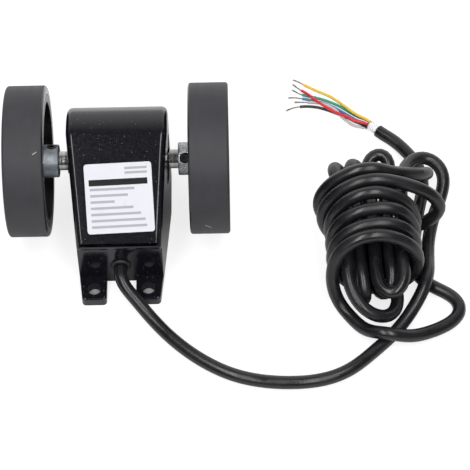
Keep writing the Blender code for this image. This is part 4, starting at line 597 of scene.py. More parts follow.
def tab_outline(right_side, in_front):
    wall, out = (FRONT, -1.0) if in_front else (BACK, 1.0)
    root, tip, inner = wall - out * WALL / 2, wall + out * TAB_LENGTH, TAB_GAP / 2
    if in_front:
        outer_root, outer_tip = half_width(wall), half_width(tip)
    else:
        outer_root, outer_tip = REAR_TAB_HALF_WIDTH + TAPER * TAB_LENGTH, REAR_TAB_HALF_WIDTH
    quarter, c = [step * math.pi / 2 / 6 for step in range(7)], TAB_CORNER
    points = [(inner, root)]
    points += [(inner + c * (1 - math.cos(a)), tip - out * c * (1 - math.sin(a))) for a in quarter]
    points += [(outer_tip - c * (1 - math.sin(a)), tip - out * c * (1 - math.cos(a))) for a in quarter]
    points += [(outer_root, wall), (outer_root, root)]
    return [(right_side * x, y) for x, y in points]


hole_x = TAB_GAP / 2 + (half_width(FRONT - TAB_LENGTH) - TAB_GAP / 2) / 2
HOLE_YS = (FRONT - TAB_HOLE_FROM_WALL, BACK + TAB_HOLE_FROM_WALL)
for in_front, hole_y in zip((True, False), HOLE_YS):
    for right_side in (-1, 1):
        tab = slab("tab", [(x, y, 0) for x, y in tab_outline(right_side, in_front)], (0, 0, TAB_HEIGHT))
        round_edges(tab, lambda middle, run: middle.z > TAB_HEIGHT - CLOSE, TAB_EDGE, 3)
        hole = rod("hole", TAB_HOLE / 2, -BEYOND, 3 * BEYOND, (right_side * hole_x, hole_y), sides=48)
        combine(tab, hole, "DIFFERENCE")
        combine(housing, tab, "UNION")
print("tab holes at", round(hole_x, 2), "mm to each side")

# %% [markdown]
# The inside is hollow, with a round seat for a bearing in each side wall. The shaft goes through there, and
# the seats stand out to the inside, so that they are wide enough for the whole bearing. Below is a ledge for
# the cover, the front wall has the hole for the cable, and the sloping face a shallow recess for the label.

# %% The housing's hollow
SEAT_RADIUS, SEAT_WALL, SEAT_END, SEAT_NEAR, SHOULDER = 13.3, 3.2, 15.5, 16.9, 9.5
CABLE_HEIGHT, BUSH_BODY, THREAD, THREAD_TOP = 14.6, 10.4, 3.6, 8.3
LABEL_WIDTH, LABEL_HEIGHT, LABEL_CORNER, LABEL_FROM_LIP, LABEL_THICK = 35.4, 37.0, 1.6, 8.3, 0.35
FILM_WIDTH, FILM_HEIGHT, FILM_UP, LABEL_ASIDE = 34.9, 36.5, 0.15, 1.0
POCKET_DEPTH, POCKET_MARGIN, LABEL_TURN = 0.45, 0.8, math.radians(2.0)
COVER_THICK, COVER_LEDGE, POST_WIDTH, POST_HEIGHT, POST_INSET = 2.2, 1.7, 10.0, 9.0, 4.6

inner_front = FRONT + WALL
corner_z = LIP_HEIGHT + (inner_front - LIP) * math.tan(FACE_RISE) - WALL / math.cos(FACE_RISE)
inside = [(inner_front, -BEYOND), (BACK - WALL, -BEYOND)] + crown(CROWN - WALL) + [(inner_front, corner_z)]
hollow = slab("hollow", [(-HALF_WIDTH, y, z) for y, z in inside], (2 * HALF_WIDTH, 0, 0))
combine(housing, combine(hollow, plan("plan", WALL, -BEYOND - 1, TALL), "INTERSECT"), "DIFFERENCE")
screw_places = [(sign * (half_width(y) - WALL - POST_INSET), y)
                for y in (FRONT + WALL + POST_INSET, BACK - WALL - POST_INSET) for sign in (-1, 1)]
for spot in screw_places:
    post = rod("post", POST_WIDTH / 2, COVER_THICK + GAP, COVER_THICK + POST_HEIGHT, spot, sides=40)
    combine(housing, post, "UNION")


def in_side_wall(name, sign, radius, near, far, operation, sides=96):
    """Adds a round bar on the shaft's axis to one side of the housing, or cuts it out."""
    low, high = sorted((sign * near, sign * far))
    combine(housing, rod(name, radius, low, high, (0, AXIS), "X", sides), operation)


for sign in (-1, 1):
    in_side_wall("seat", sign, SEAT_RADIUS + SEAT_WALL, SEAT_END, HALF_WIDTH - WALL / 2, "UNION", 64)
ledge_in = WALL - COVER_LEDGE - GAP
corners = [(-40, FRONT + ledge_in), (40, FRONT + ledge_in), (40, BACK - ledge_in), (-40, BACK - ledge_in)]
cover_hole = combine(plan("cover hole", ledge_in, -BEYOND, COVER_THICK + GAP),
                     slab("trim", [(x, y, -5) for x, y in corners], (0, 0, 20)), "INTERSECT")
combine(housing, cover_hole, "DIFFERENCE")
for sign in (-1, 1):
    in_side_wall("bore", sign, SEAT_RADIUS, SEAT_NEAR, HALF_WIDTH + BEYOND, "DIFFERENCE")
    in_side_wall("shoulder", sign, SHOULDER, SEAT_END - BEYOND, SEAT_NEAR + BEYOND, "DIFFERENCE")
for spot in screw_places:
    combine(housing, rod("thread", THREAD / 2, -BEYOND, THREAD_TOP, spot, sides=24), "DIFFERENCE")
cable_exit = rod("exit", BUSH_BODY / 2 + GAP, FRONT - BEYOND, FRONT + WALL + BEYOND, (0, CABLE_HEIGHT), "Y")
combine(housing, cable_exit, "DIFFERENCE")


def on_face(along, out, turn=0.0):
    """Takes a flat drawing, in metres, onto the sloping face, so far up from the lip and so far out."""
    uphill = Vector((0, math.cos(FACE_RISE), math.sin(FACE_RISE)))
    outward = Vector((0, -math.sin(FACE_RISE), math.cos(FACE_RISE)))
    place = (Vector((LABEL_ASIDE, LIP, LIP_HEIGHT)) + uphill * along + outward * out) * MM
    lean = Matrix((Vector((1, 0, 0)), uphill, outward)).transposed().to_4x4()
    return Matrix.Translation(place) @ lean @ Matrix.Rotation(turn, 4, "Z")


label_middle = LABEL_FROM_LIP + LABEL_HEIGHT / 2
pocket_outline = rounded(LABEL_WIDTH + 2 * POCKET_MARGIN, LABEL_HEIGHT + 2 * POCKET_MARGIN, LABEL_CORNER)
pocket = slab("pocket", [(x, y, -POCKET_DEPTH) for x, y in pocket_outline], (0, 0, 5))
combine(housing, moved(pocket, "pocket", on_face(label_middle, 0)), "DIFFERENCE")
pick(housing)
edit()
face_out()
housing = done("housing_casting", 32)
even = housing.modifiers.new("even normals", "WEIGHTED_NORMAL")
even.keep_sharp = True
bpy.ops.object.modifier_apply(modifier=even.name)
print("housing", len(housing.data.polygons), "faces")

# %% [markdown]
# The label is a white film in that recess, set a little askew by hand. Its outline is unwrapped to a square,
# so that a pattern can be laid on it by the share of its width and height.

# %% Label
flat_label = slab("label", [(x, y, 0) for x, y in rounded(FILM_WIDTH, FILM_HEIGHT, LABEL_CORNER)],
                  (0, 0, LABEL_THICK))
layer = flat_label.data.uv_layers.active.data
for loop in flat_label.data.loops:
    spot = flat_label.data.vertices[loop.vertex_index].co / MM
    layer[loop.index].uv = (spot.x / FILM_WIDTH + 0.5, spot.y / FILM_HEIGHT + 0.5)
label = moved(flat_label, "label_film", on_face(label_middle + FILM_UP, GAP - POCKET_DEPTH, LABEL_TURN))
print("label", FILM_WIDTH, "x", FILM_HEIGHT, "mm")

# %% [markdown]
# The wheels are turned parts, so each is a spun section. The tyre is a rubber ring, moulded on a rim with a
# key in its bed. The rim is a deep cup that opens towards the housing, and a metal hub stands out from it.

# %% Wheels
WHEEL, WIDTH, NEAR, TYRE, TYRE_EDGE, KEY_WIDTH, KEY_DEPTH = 39.8, 21.0, 37.0, 4.5, 1.5, 5.0, 1.2
RIM, WEB, WEB_INSET, BOSS, HUB, HUB_BORE, STANDOUT, HUB_EDGE = 4.0, 4.0, 2.5, 2.5, 8.65, 5.3, 5.7, 0.6
RIM_CORNER, BOSS_CORNER, BOSS_LENGTH, CUT, SMALL_CUT = 1.4, 1.6, 3.5, 0.4, 0.3
SCREW, SCREW_LENGTH, SOCKET, SCREW_FROM_END = 5.0, 3.2, 2.5, 3.6
SCREW_ANGLES = {"left": math.radians(117), "right": math.radians(55)}
far, middle = NEAR + WIDTH, NEAR + WIDTH / 2
bed = WHEEL - TYRE
seat, rim_in = bed - GAP, bed - GAP - RIM
web_far = far - WEB_INSET
web_near, hub_hole = web_far - WEB, HUB + GAP
boss, boss_near = hub_hole + BOSS, web_near - BOSS_LENGTH
hub_near, key_near, key_far = NEAR - STANDOUT, middle - KEY_WIDTH / 2, middle + KEY_WIDTH / 2
groove_near, groove_far, groove = key_near - GAP, key_far + GAP, bed - KEY_DEPTH - GAP


def arc(x, r, radius, start, end, steps=5):
    """Points on a corner's arc, from one angle to another, in degrees."""
    angles = [math.radians(start + (end - start) * i / steps) for i in range(steps + 1)]
    return [(x + radius * math.cos(a), r + radius * math.sin(a)) for a in angles]


tyre_section = ([(NEAR, bed)] + arc(NEAR + TYRE_EDGE, WHEEL - TYRE_EDGE, TYRE_EDGE, 180, 90)
                + arc(far - TYRE_EDGE, WHEEL - TYRE_EDGE, TYRE_EDGE, 90, 0)
                + [(far, bed), (key_far, bed), (key_far, bed - KEY_DEPTH), (key_near, bed - KEY_DEPTH),
                   (key_near, bed)])
rim_section = ([(NEAR + SMALL_CUT, rim_in), (NEAR, rim_in + SMALL_CUT), (NEAR, seat), (groove_near, seat),
                (groove_near, groove), (groove_far, groove), (groove_far, seat), (far, seat),
                (far, rim_in + CUT), (far - CUT, rim_in)]
               + arc(web_far + RIM_CORNER, rim_in - RIM_CORNER, RIM_CORNER, 90, 180, 4)[1:]
               + [(web_far, hub_hole), (boss_near + CUT, hub_hole), (boss_near, hub_hole + CUT),
                  (boss_near, boss - CUT), (boss_near + CUT, boss)]
               + arc(web_near - BOSS_CORNER, boss + BOSS_CORNER, BOSS_CORNER, -90, 0, 4)
               + arc(web_near - BOSS_CORNER, rim_in - BOSS_CORNER, BOSS_CORNER, 0, 90, 4))
hub_section = ([(hub_near + CUT, HUB_BORE), (hub_near, HUB_BORE + CUT)]
               + arc(hub_near + HUB_EDGE, HUB - HUB_EDGE, HUB_EDGE, 180, 90, 3)
               + [(web_far - SMALL_CUT, HUB), (web_far, HUB - SMALL_CUT), (web_far, HUB_BORE + CUT),
                  (web_far - CUT, HUB_BORE)])


def wheel(word, sign):
    """The tyre, rim, hub and grub screw of one side."""
    sections = (("tread", tyre_section, 128), ("rim", rim_section, 128), ("hub", hub_section, 72))
    tyre, rim, hub = (lathe(f"{word}_{name}", [(sign * x, r) for x, r in section], steps)
                      for name, section, steps in sections)
    turn = (Matrix.Translation((sign * (hub_near + SCREW_FROM_END) * MM, 0, AXIS_HEIGHT))
            @ Matrix.Rotation(math.pi / 2 - SCREW_ANGLES[word], 4, "X"))
    cutter = rod("cutter", SCREW / 2 + GAP, HUB_BORE - 1.3, HUB + BEYOND, sides=40)
    combine(hub, moved(cutter, "hole", turn), "DIFFERENCE")
    top = HUB_BORE + SCREW_LENGTH
    screw = rod("screw", SCREW / 2, HUB_BORE, top, sides=32)
    round_edges(screw, lambda mid, run: mid.z > top - CLOSE, SMALL_CUT, 2)
    combine(screw, rod("socket", SOCKET / 2, top - SCREW_LENGTH / 2, top + BEYOND, sides=6), "DIFFERENCE")
    screw = moved(screw, f"{word}_grub_screw", turn)
    for piece in (hub, screw):
        pick(piece)
        done(piece.name)
    return tyre, rim, hub, screw


wheels = {"left": wheel("left", -1), "right": wheel("right", 1)}
print("tread", 2 * WHEEL, "mm across,", round(math.pi * 2 * WHEEL, 1), "mm round")

# %% [markdown]
# The shaft is ground steel, 10 mm thick, with a groove for a snap ring outside each bearing. The bearings are
# small ball bearings with pressed shields. All of them are turned, so they are spun sections too.

# %% Shaft and bearings
SHAFT, HALF_SHAFT, CHAMFER, GROOVE_IN, GROOVE_OUT, GROOVE_FLOOR = 5.0, 53.0, 0.6, 25.2, 26.9, 4.3
BEARING_MIDDLE, BEARING_HALF, BEARING_OUTER, RACE_PITCH, RACE, LAND = 21.2, 4.0, 13.0, 9.0, 2.65, 1.3
half_shaft = [(GROOVE_IN, SHAFT), (GROOVE_IN, GROOVE_FLOOR), (GROOVE_OUT, GROOVE_FLOOR), (GROOVE_OUT, SHAFT),
              (HALF_SHAFT - CHAMFER, SHAFT), (HALF_SHAFT, SHAFT - CHAMFER), (HALF_SHAFT, 0.0)]
shaft = lathe("shaft_bar", [(-x, r) for x, r in reversed(half_shaft)] + half_shaft, 72, closed=False)


def bearing(word, sign):
    """One bearing's two rings and the shield that can be seen."""
    half, land_out, land_in = BEARING_HALF, RACE_PITCH + LAND, RACE_PITCH - LAND
    lean = math.degrees(math.asin(LAND / RACE))
    rim_r, bore_r = BEARING_OUTER - CUT, SHAFT + GAP
    outer = ([(-half, rim_r), (-half, land_out)] + arc(0, RACE_PITCH, RACE, 180 - lean, lean, 8)
             + [(half, land_out), (half, rim_r), (half - CUT, BEARING_OUTER), (-half + CUT, BEARING_OUTER)])
    inner = ([(-half, bore_r + SMALL_CUT), (-half, land_in)]
             + arc(0, RACE_PITCH, RACE, 180 + lean, 360 - lean, 8)
             + [(half, land_in), (half, bore_r + SMALL_CUT), (half - SMALL_CUT, bore_r),
                (-half + SMALL_CUT, bore_r)])
    shield = [(3.5, 8.1), (3.5, 9.9), (3.9, 9.9), (3.9, 9.4), (4.0, 9.2), (4.0, 8.4), (3.9, 8.1)]
    return [lathe(f"{word}_{name}", [(sign * (BEARING_MIDDLE + x), r) for x, r in section], 72)
            for name, section in (("outer_ring", outer), ("inner_ring", inner), ("shield", shield))]


bearings = {"left": bearing("left", -1), "right": bearing("right", 1)}
print("bearings", 2 * BEARING_OUTER, "x", 2 * SHAFT, "x", 2 * BEARING_HALF, "mm")

# %% [markdown]
# A soft round bush keeps the cable off the casting's edge. From outside only its sloping flange shows. It is
# a spun section as well, about the cable's own axis.

# %% Cable bush
bush_out, bush_in = FRONT - GAP, FRONT + WALL + GAP
bush_section = [(bush_out - 1.2, 3.8), (bush_out - 1.2, 4.6), (bush_out - 1.0, 4.9), (bush_out - 0.2, 5.3),
                (bush_out, 5.2), (bush_in, 5.2), (bush_in, 6.3), (bush_in + 1.2, 6.3), (bush_in + 1.2, 3.8)]
bush = spun("cable_bush", [(0, y * MM, (CABLE_HEIGHT + r) * MM) for y, r in bush_section], 64,
            (0, 0, CABLE_HEIGHT * MM), (0, 1, 0))
print("bush", BUSH_BODY, "mm through the wall")

# %% [markdown]
# Underneath, four countersunk screws with a hexagon socket hold the cover. One is modelled and then copied.

# %% Cover screws
COVER_SOCKET, COVER_SOCKET_DEPTH, SUNK = 2.0, 1.3, 0.15
screw_section = ((0, 8), (1.5, 8), (1.5, 1.6), (2.7, 0.2), (2.6, 0), (0, 0))
first_screw = spun("cover_screw", [(r * MM, 0, z * MM) for r, z in screw_section], 40, (0, 0, 0), (0, 0, 1),
                   closed=False)
combine(first_screw, rod("socket", COVER_SOCKET / 2, -1, COVER_SOCKET_DEPTH, sides=6), "DIFFERENCE")
cover_screws = [copied(first_screw, f"cover_screw_{number}", Matrix.Translation(Vector((x, y, SUNK)) * MM))
                for number, (x, y) in enumerate(screw_places, start=1)]
bpy.data.objects.remove(first_screw, do_unlink=True)
print(len(cover_screws), "cover screws")

# %% [markdown]
# The wrap at the sheath's end is crumpled film, so a round bar is divided finely and pushed in by two waves
# that run round it and cross each other.

# %% White wrap
CRUMPLE, WAVES = 0.16, ((5, 1.3), (9, -2.1))
bpy.ops.object.select_all(action="DESELECT")
bpy.ops.mesh.primitive_cylinder_add(vertices=40, radius=WRAP_WIDTH / 2 * MM, depth=(WRAP_LENGTH - 0.2) * MM)
edit()
bpy.ops.mesh.select_all(action="SELECT")
bpy.ops.mesh.subdivide(number_cuts=7)
bpy.ops.object.mode_set(mode="OBJECT")
wrap = bpy.context.object
for vert in wrap.data.vertices:
    angle, height = math.atan2(vert.co.y, vert.co.x), vert.co.z / MM
    pushed = CRUMPLE * (sum(math.sin(turns * angle + climb * height) for turns, climb in WAVES) - len(WAVES))
    vert.co.x *= 1 + pushed / WRAP_WIDTH * 2
    vert.co.y *= 1 + pushed / WRAP_WIDTH * 2
turn_to = Vector((0, 0, 1)).rotation_difference(Vector(onward)).to_matrix().to_4x4()
wrap.matrix_world = Matrix.Translation(Vector((wrap_start + wrap_end) / 2) * MM) @ turn_to
bpy.ops.object.transform_apply(location=True, rotation=True, scale=True)
wrap = done("white_wrap", 50)
print("wrap", WRAP_LENGTH, "mm long")

# %% [markdown]
# The finishes are made of nodes. A node's input is either linked to another node or set to a value, so one
# small function does both, and the kinds of node that come often have a short name of their own.


# %% Short names for nodes
def feed(tree, socket, value):
    """Links an output into an input, or sets the input to a value."""
    if isinstance(value, bpy.types.NodeSocket):
        tree.links.new(value, socket)
    else:
        socket.default_value = value


def node(tree, kind, links=(), **settings):
    """Adds a node, sets its properties, and feeds its inputs by name or number."""
    made = tree.nodes.new(f"ShaderNode{kind}")
    for name, value in settings.items():
        setattr(made, name, value)
    for key, value in dict(links).items():
        feed(tree, made.inputs[key], value)
    return made


def reckon(tree, operation, *values):
    return node(tree, "Math", dict(enumerate(values)), operation=operation).outputs[0]


def vectors(tree, operation, *values, **named):
    """A step with vectors, which gives a vector or, as a distance does, a number."""
    output = "Value" if operation in ("LENGTH", "DISTANCE", "DOT_PRODUCT") else "Vector"
    return node(tree, "VectorMath", {**dict(enumerate(values)), **named}, operation=operation).outputs[output]


def ranged(tree, value, span, target=(0.0, 1.0), **settings):
    """A value that is carried over from one range to another."""
    return node(tree, "MapRange", {"Value": value, "From Min": span[0], "From Max": span[1],
                                   "To Min": target[0], "To Max": target[1]}, **settings).outputs[0]


def object_place(tree):
    return node(tree, "TexCoord").outputs["Object"]


def parts_of(tree, vector):
    return node(tree, "SeparateXYZ", {0: vector}).outputs


def noise(tree, place, scale, detail=2.0):
    return node(tree, "TexNoise", {"Vector": place, "Scale": scale, "Detail": detail}).outputs["Fac"]


def bumped(tree, height, given):
    return node(tree, "Bump", {"Height": height, "Distance": given["Height"],
                               "Normal": given["Normal"]}).outputs[0]


print("turned finishes run round a line", AXIS, "mm up")

# %% [markdown]
# No surface is one flat colour. A few patterns serve all finishes: mottling in the colour, a fine grain in
# the surface, scattered specks, the rings that a lathe leaves, and a single scratch. Each is a small group of
# nodes that reads the place on the object and gives back a colour, a mask or a normal.

# %% Patterns that the finishes share
NOISE_RANGE, RAGGED_SCALE = (0.3, 0.7), 2600.0


def lay_mottle(tree, given):
    clouds = noise(tree, object_place(tree), given["Scale"], 4.0)
    limits = [reckon(tree, step, 1.0, given["Amount"]) for step in ("SUBTRACT", "ADD")]
    return vectors(tree, "SCALE", given["Colour"], Scale=ranged(tree, clouds, NOISE_RANGE, limits)), clouds


def lay_grain(tree, given):
    return [bumped(tree, noise(tree, object_place(tree), given["Scale"]), given)]


def lay_specks(tree, given):
    """Ragged spots in the middle of some of the cells that the object is divided into."""
    cells = node(tree, "TexVoronoi", {"Vector": object_place(tree), "Scale": given["Scale"]}).outputs
    ragged = reckon(tree, "MULTIPLY", cells["Distance"], noise(tree, object_place(tree), RAGGED_SCALE))
    luck = node(tree, "SeparateColor", {0: cells["Color"]}).outputs[0]
    return [reckon(tree, "MULTIPLY", reckon(tree, "LESS_THAN", ragged, given["Size"]),
                   reckon(tree, "LESS_THAN", luck, given["Share"]))]


def lay_turning(tree, given):
    """Rings round the shaft's axis, from the place along it and the distance from it."""
    along, y, z = parts_of(tree, object_place(tree))
    across = node(tree, "CombineXYZ", {1: y, 2: reckon(tree, "SUBTRACT", z, AXIS_HEIGHT)}).outputs[0]
    radius = vectors(tree, "LENGTH", across)
    rings = noise(tree, node(tree, "CombineXYZ", {0: along, 1: radius}).outputs[0], given["Scale"], 3.0)
    return rings, bumped(tree, rings, given), radius


def lay_scratch(tree, given):
    away = vectors(tree, "SUBTRACT", object_place(tree), given["Middle"])
    along = vectors(tree, "DOT_PRODUCT", away, given["Direction"])
    start = reckon(tree, "MULTIPLY", given["Half length"], -1.0)
    held = node(tree, "Clamp", {0: along, 1: start, 2: given["Half length"]}).outputs[0]
    off = vectors(tree, "DISTANCE", away, vectors(tree, "SCALE", given["Direction"], Scale=held))
    return [reckon(tree, "LESS_THAN", off, given["Half width"])]


def new_group(name, lay, inputs, outputs):
    """A group of nodes. The kinds of its inputs follow from their values, and a function lays its nodes."""
    tree = bpy.data.node_groups.new(name, "ShaderNodeTree")
    for label, value in inputs.items():
        kind = "Float" if isinstance(value, float) else ("Vector", "Color")[len(value) - 3]
        socket = tree.interface.new_socket(name=label, in_out="INPUT", socket_type=f"NodeSocket{kind}")
        socket.default_value = value
    for label, kind in outputs.items():
        tree.interface.new_socket(name=label, in_out="OUTPUT", socket_type=f"NodeSocket{kind}")
    given, result = tree.nodes.new("NodeGroupInput").outputs, tree.nodes.new("NodeGroupOutput").inputs
    for label, socket in zip(outputs, lay(tree, given)):
        tree.links.new(socket, result[label])
    return tree


GROUPS = {
    "mottle": new_group("mottle", lay_mottle, {"Colour": (1, 1, 1, 1), "Scale": 200.0, "Amount": 0.1},
                        {"Colour": "Color", "Value": "Float"}),
    "grain": new_group("grain", lay_grain, {"Scale": 2000.0, "Height": 1e-6, "Normal": (0, 0, 0)},
                       {"Normal": "Vector"}),
    "specks": new_group("specks", lay_specks, {"Scale": 300.0, "Size": 0.06, "Share": 0.3},
                        {"Mask": "Float"}),
    "turning": new_group("turning marks", lay_turning, {"Scale": 3000.0, "Height": 1e-6, "Normal": (0, 0, 0)},
                         {"Value": "Float", "Normal": "Vector", "Radius": "Float"}),
    "scratch": new_group("scratch", lay_scratch, {"Middle": (0, 0, 0), "Direction": (1, 0, 0),
                                                  "Half length": 0.002, "Half width": 0.0002},
                         {"Mask": "Float"}),
}
print("patterns:", ", ".join(GROUPS))

# %% [markdown]
# A finish lays those patterns on one shader: they feed its colour, its roughness and its normal.


# %% A finish from those patterns
def pattern(tree, name, links):
    return node(tree, "Group", links, node_tree=GROUPS[name]).outputs


def mixed(tree, mask, base, other):
    """A colour that goes over to another one where the mask is 1."""
    return node(tree, "Mix", {0: mask, 6: base, 7: other}, data_type="RGBA").outputs[2]


def shader_of(material):
    """A material's nodes, and the inputs of its shader."""
    return material.node_tree, material.node_tree.nodes["Principled BSDF"].inputs


def source(socket):
    """What feeds an input now."""
    return socket.links[0].from_socket


def finish(name, colour, roughness, metallic=0.0, mottle=(250.0, 0.12), grain=(2500.0, 2e-6), turned=None,
           specks=None, speck_colour=(0.4, 0.4, 0.4, 1), scratch=None, ring=None, rough_spread=0.06):
    """A finish: mottled colour, uneven roughness, grain or turning marks, and specks or a scratch on it."""
    made = bpy.data.materials.new(name)
    made.use_nodes = True
    tree, skin = shader_of(made)
    skin["Metallic"].default_value = metallic
    scale, amount = mottle
    tint, uneven = pattern(tree, "mottle", {"Colour": (*colour, 1.0), "Scale": scale, "Amount": amount})
    normal = pattern(tree, "grain", dict(zip(("Scale", "Height"), grain)))[0]
    if turned:
        scale, height, share = turned
        marks = {"Scale": scale, "Height": height, "Normal": normal}
        uneven, normal, radius = pattern(tree, "turning", marks)
        tint = vectors(tree, "SCALE", tint, Scale=ranged(tree, uneven, NOISE_RANGE, (1 - share, 1 + share)))
        # With a ring, the colour goes over to a darker one inside a radius round the shaft: painted shade in
        # a recess.
        if ring:
            inner, cup_shade_colour = ring
            tint = mixed(tree, reckon(tree, "LESS_THAN", radius, inner), tint, (*cup_shade_colour, 1.0))
    rough = ranged(tree, uneven, NOISE_RANGE, (roughness - rough_spread, roughness + rough_spread))
    specks = specks and dict(zip(("Scale", "Size", "Share"), specks))
    for kind, links in (("specks", specks), ("scratch", scratch)):
        if links:
            mask = pattern(tree, kind, links)[0]
            tint = mixed(tree, mask, tint, speck_colour)
            rough = reckon(tree, "MAXIMUM", rough, mask)
    for key, value in (("Base Color", tint), ("Roughness", rough), ("Normal", normal)):
        feed(tree, skin[key], value)
    return made


print("a finish draws on", len(GROUPS), "patterns")

# %% [markdown]
# The housing's paint is a thick gloss enamel: its skin is a little wavy, and dust has settled on it. The
# tread's rubber was ground round, which leaves fine rings, and it has one small pale scuff on each wheel.
# The rim is black with fine turning rings, and its cup is painted darker than its open edge: painted shade in
# the recess. The hubs are rough metal.

# %% Finishes
def by_tab_hole(tree, position, beyond):
    """A mask that is 1 in the four tab holes and so far beyond their walls, in mm."""
    x, y, _ = parts_of(tree, position)
    flat, found = node(tree, "CombineXYZ", {0: reckon(tree, "ABSOLUTE", x), 1: y}).outputs[0], 0.0
    for hole_y in HOLE_YS:
        away = vectors(tree, "DISTANCE", flat, (hole_x * MM, hole_y * MM, 0))
        near = reckon(tree, "LESS_THAN", away, (TAB_HOLE / 2 + beyond) * MM)
        found = reckon(tree, "MAXIMUM", near, found)
    return found


paint = finish("black gloss paint", (0.006, 0.0062, 0.009), 0.13, mottle=(800.0, 0.45), grain=(1100.0, 7e-6),
               specks=(520.0, 0.045, 0.7), speck_colour=(0.15, 0.15, 0.165, 1), rough_spread=0.03)
tree, skin = shader_of(paint)
dull = by_tab_hole(tree, object_place(tree), 0.1)
feed(tree, skin["Roughness"], reckon(tree, "MAXIMUM", source(skin["Roughness"]), dull))
SCUFFS = {"left": ((-41.0, -20.6, 80.0), (0.85, 0.44, 0.29), 2.2),
          "right": ((46.7, -39.2, 39.0), (0.75, 0.115, -0.65), 4.0)}
# The rim's own black, which also serves as painted shade on the tyre's side towards the housing.
RIM_BLACK_AND_TYRE_SIDE_SHADE, SCUFF_WIDTH = (0.018, 0.018, 0.021), 0.4
rubbers = {}
for word, (spot, direction, length) in SCUFFS.items():
    rubbers[word] = finish(
        f"{word} tread rubber", (0.028, 0.0275, 0.033), 0.62, mottle=(70.0, 0.14), grain=(3000.0, 8e-6),
        turned=(350.0, 1.2e-5, 0.14), speck_colour=(0.45, 0.43, 0.4, 1),
        scratch={"Middle": Vector(spot) * MM, "Direction": Vector(direction).normalized(),
                 "Half length": length / 2 * MM, "Half width": SCUFF_WIDTH / 2 * MM})
    tree, skin = shader_of(rubbers[word])
    # On the tyre's side towards the housing the rubber is smoother, and its colour goes over to a darker one:
    # painted shade between tyre and housing.
    x = parts_of(tree, vectors(tree, "ABSOLUTE", object_place(tree)))[0]
    side = ranged(tree, x, ((NEAR + 0.9) * MM, (NEAR + 0.5) * MM))
    smoother = reckon(tree, "ADD", source(skin["Roughness"]), reckon(tree, "MULTIPLY", side, -0.5))
    feed(tree, skin["Roughness"], smoother)
    feed(tree, skin["Base Color"], mixed(tree, side, source(skin["Base Color"]), (*RIM_BLACK_AND_TYRE_SIDE_SHADE, 1)))
# The rim's cup, inside its open edge, is painted near black: painted shade in the recess.
rim_finish = finish("black wheel rim", RIM_BLACK_AND_TYRE_SIDE_SHADE, 0.26, turned=(1500.0, 2e-6, 0.1),
                    ring=((rim_in + 0.25) * MM, (0.006, 0.006, 0.007)))
hub_finishes = {
    "left": finish("left hub zinc", (0.30, 0.33, 0.36), 0.5, 0.85, mottle=(260.0, 0.3), grain=(1500.0, 2e-5),
                   turned=(1200.0, 5e-6, 0.1)),
    "right": finish("right hub zinc", (0.46, 0.48, 0.50), 0.45, 0.85, mottle=(1500.0, 0.7),
                    grain=(1500.0, 4e-5), turned=(1200.0, 5e-6, 0.15), specks=(1400.0, 0.16, 0.5),
                    speck_colour=(0.03, 0.03, 0.032, 1)),
}
steel = finish("ground steel", (0.34, 0.335, 0.33), 0.17, 1.0, mottle=(120.0, 0.2), grain=(2500.0, 1e-6),
               turned=(900.0, 2e-6, 0.3))
dark_steel = finish("black oxide steel", (0.02, 0.02, 0.022), 0.4, 1.0, turned=(3000.0, 2e-6, 0.1))
aluminium = finish("turned aluminium", (0.66, 0.66, 0.68), 0.34, 1.0, turned=(3500.0, 3e-6, 0.12))
plastic = finish("black plastic", (0.008, 0.008, 0.009), 0.5, grain=(3500.0, 4e-6))
laminate = finish("board laminate", (0.02, 0.15, 0.055), 0.4, mottle=(500.0, 0.15))
white_film = finish("white wrap", (0.84, 0.84, 0.86), 0.35, mottle=(500.0, 0.12), grain=(900.0, 3e-5),
                    specks=(1300.0, 0.12, 0.45), speck_colour=(0.16, 0.16, 0.17, 1))
sheath = finish("cable sheath", (0.0095, 0.0092, 0.011), 0.3, mottle=(90.0, 0.25), grain=(600.0, 1.6e-5),
                specks=(240.0, 0.02, 0.2), speck_colour=(0.12, 0.12, 0.12, 1), rough_spread=0.12)
tin = finish("tinned copper", (0.36, 0.35, 0.34), 0.32, 1.0, mottle=(2000.0, 0.25))
SKINS = {"yellow": (0.80, 0.52, 0.05), "red": (0.68, 0.02, 0.035), "green": (0.02, 0.30, 0.17),
         "blue": (0.05, 0.20, 0.40), "white": (0.52, 0.50, 0.49), "black": (0.012, 0.012, 0.013)}
skins = {colour: finish(f"{colour} skin", tint, 0.36, mottle=(400.0, 0.06), grain=(2500.0, 3e-6))
         for colour, tint in SKINS.items()}
print(len(bpy.data.materials), "materials so far")

# %% [markdown]
# On the label, rectangles in its own coordinates make the dark band and the grey rows.

# %% Label print
label_finish = finish("label film", (0.71, 0.71, 0.765), 0.32, mottle=(150.0, 0.015), grain=(1500.0, 2e-6))
tree, skin = shader_of(label_finish)
u, v, _ = parts_of(tree, node(tree, "UVMap").outputs[0])


def printed(colour, ink, left, width, bottom, height):
    """Another colour inside a rectangle of the label, whose sides run from 0 to 1."""
    mask = 1.0
    for value, low, high in ((u, left, left + width), (v, bottom, bottom + height)):
        for step, limit in (("GREATER_THAN", low), ("LESS_THAN", high)):
            mask = reckon(tree, "MULTIPLY", reckon(tree, step, value, limit), mask)
    return mixed(tree, mask, colour, ink)


INK, GREY = (0.006, 0.0055, 0.0055, 1), (0.40, 0.40, 0.43, 1)
skin["Specular IOR Level"].default_value = 0.25
colour = printed(source(skin["Base Color"]), INK, 0.06, 0.87, 0.685, 0.09)
for row, length in enumerate((0.66, 0.56, 0.36, 0.63, 0.74, 0.80, 0.82)):
    colour = printed(colour, GREY, 0.07, length, 0.615 - row * 0.0895, 0.036)
for row in range(2):
    colour = printed(colour, GREY, 0.60, 0.33, 0.905 - row * 0.065, 0.034)
feed(tree, skin["Base Color"], colour)
print("label print: one band and nine rows")

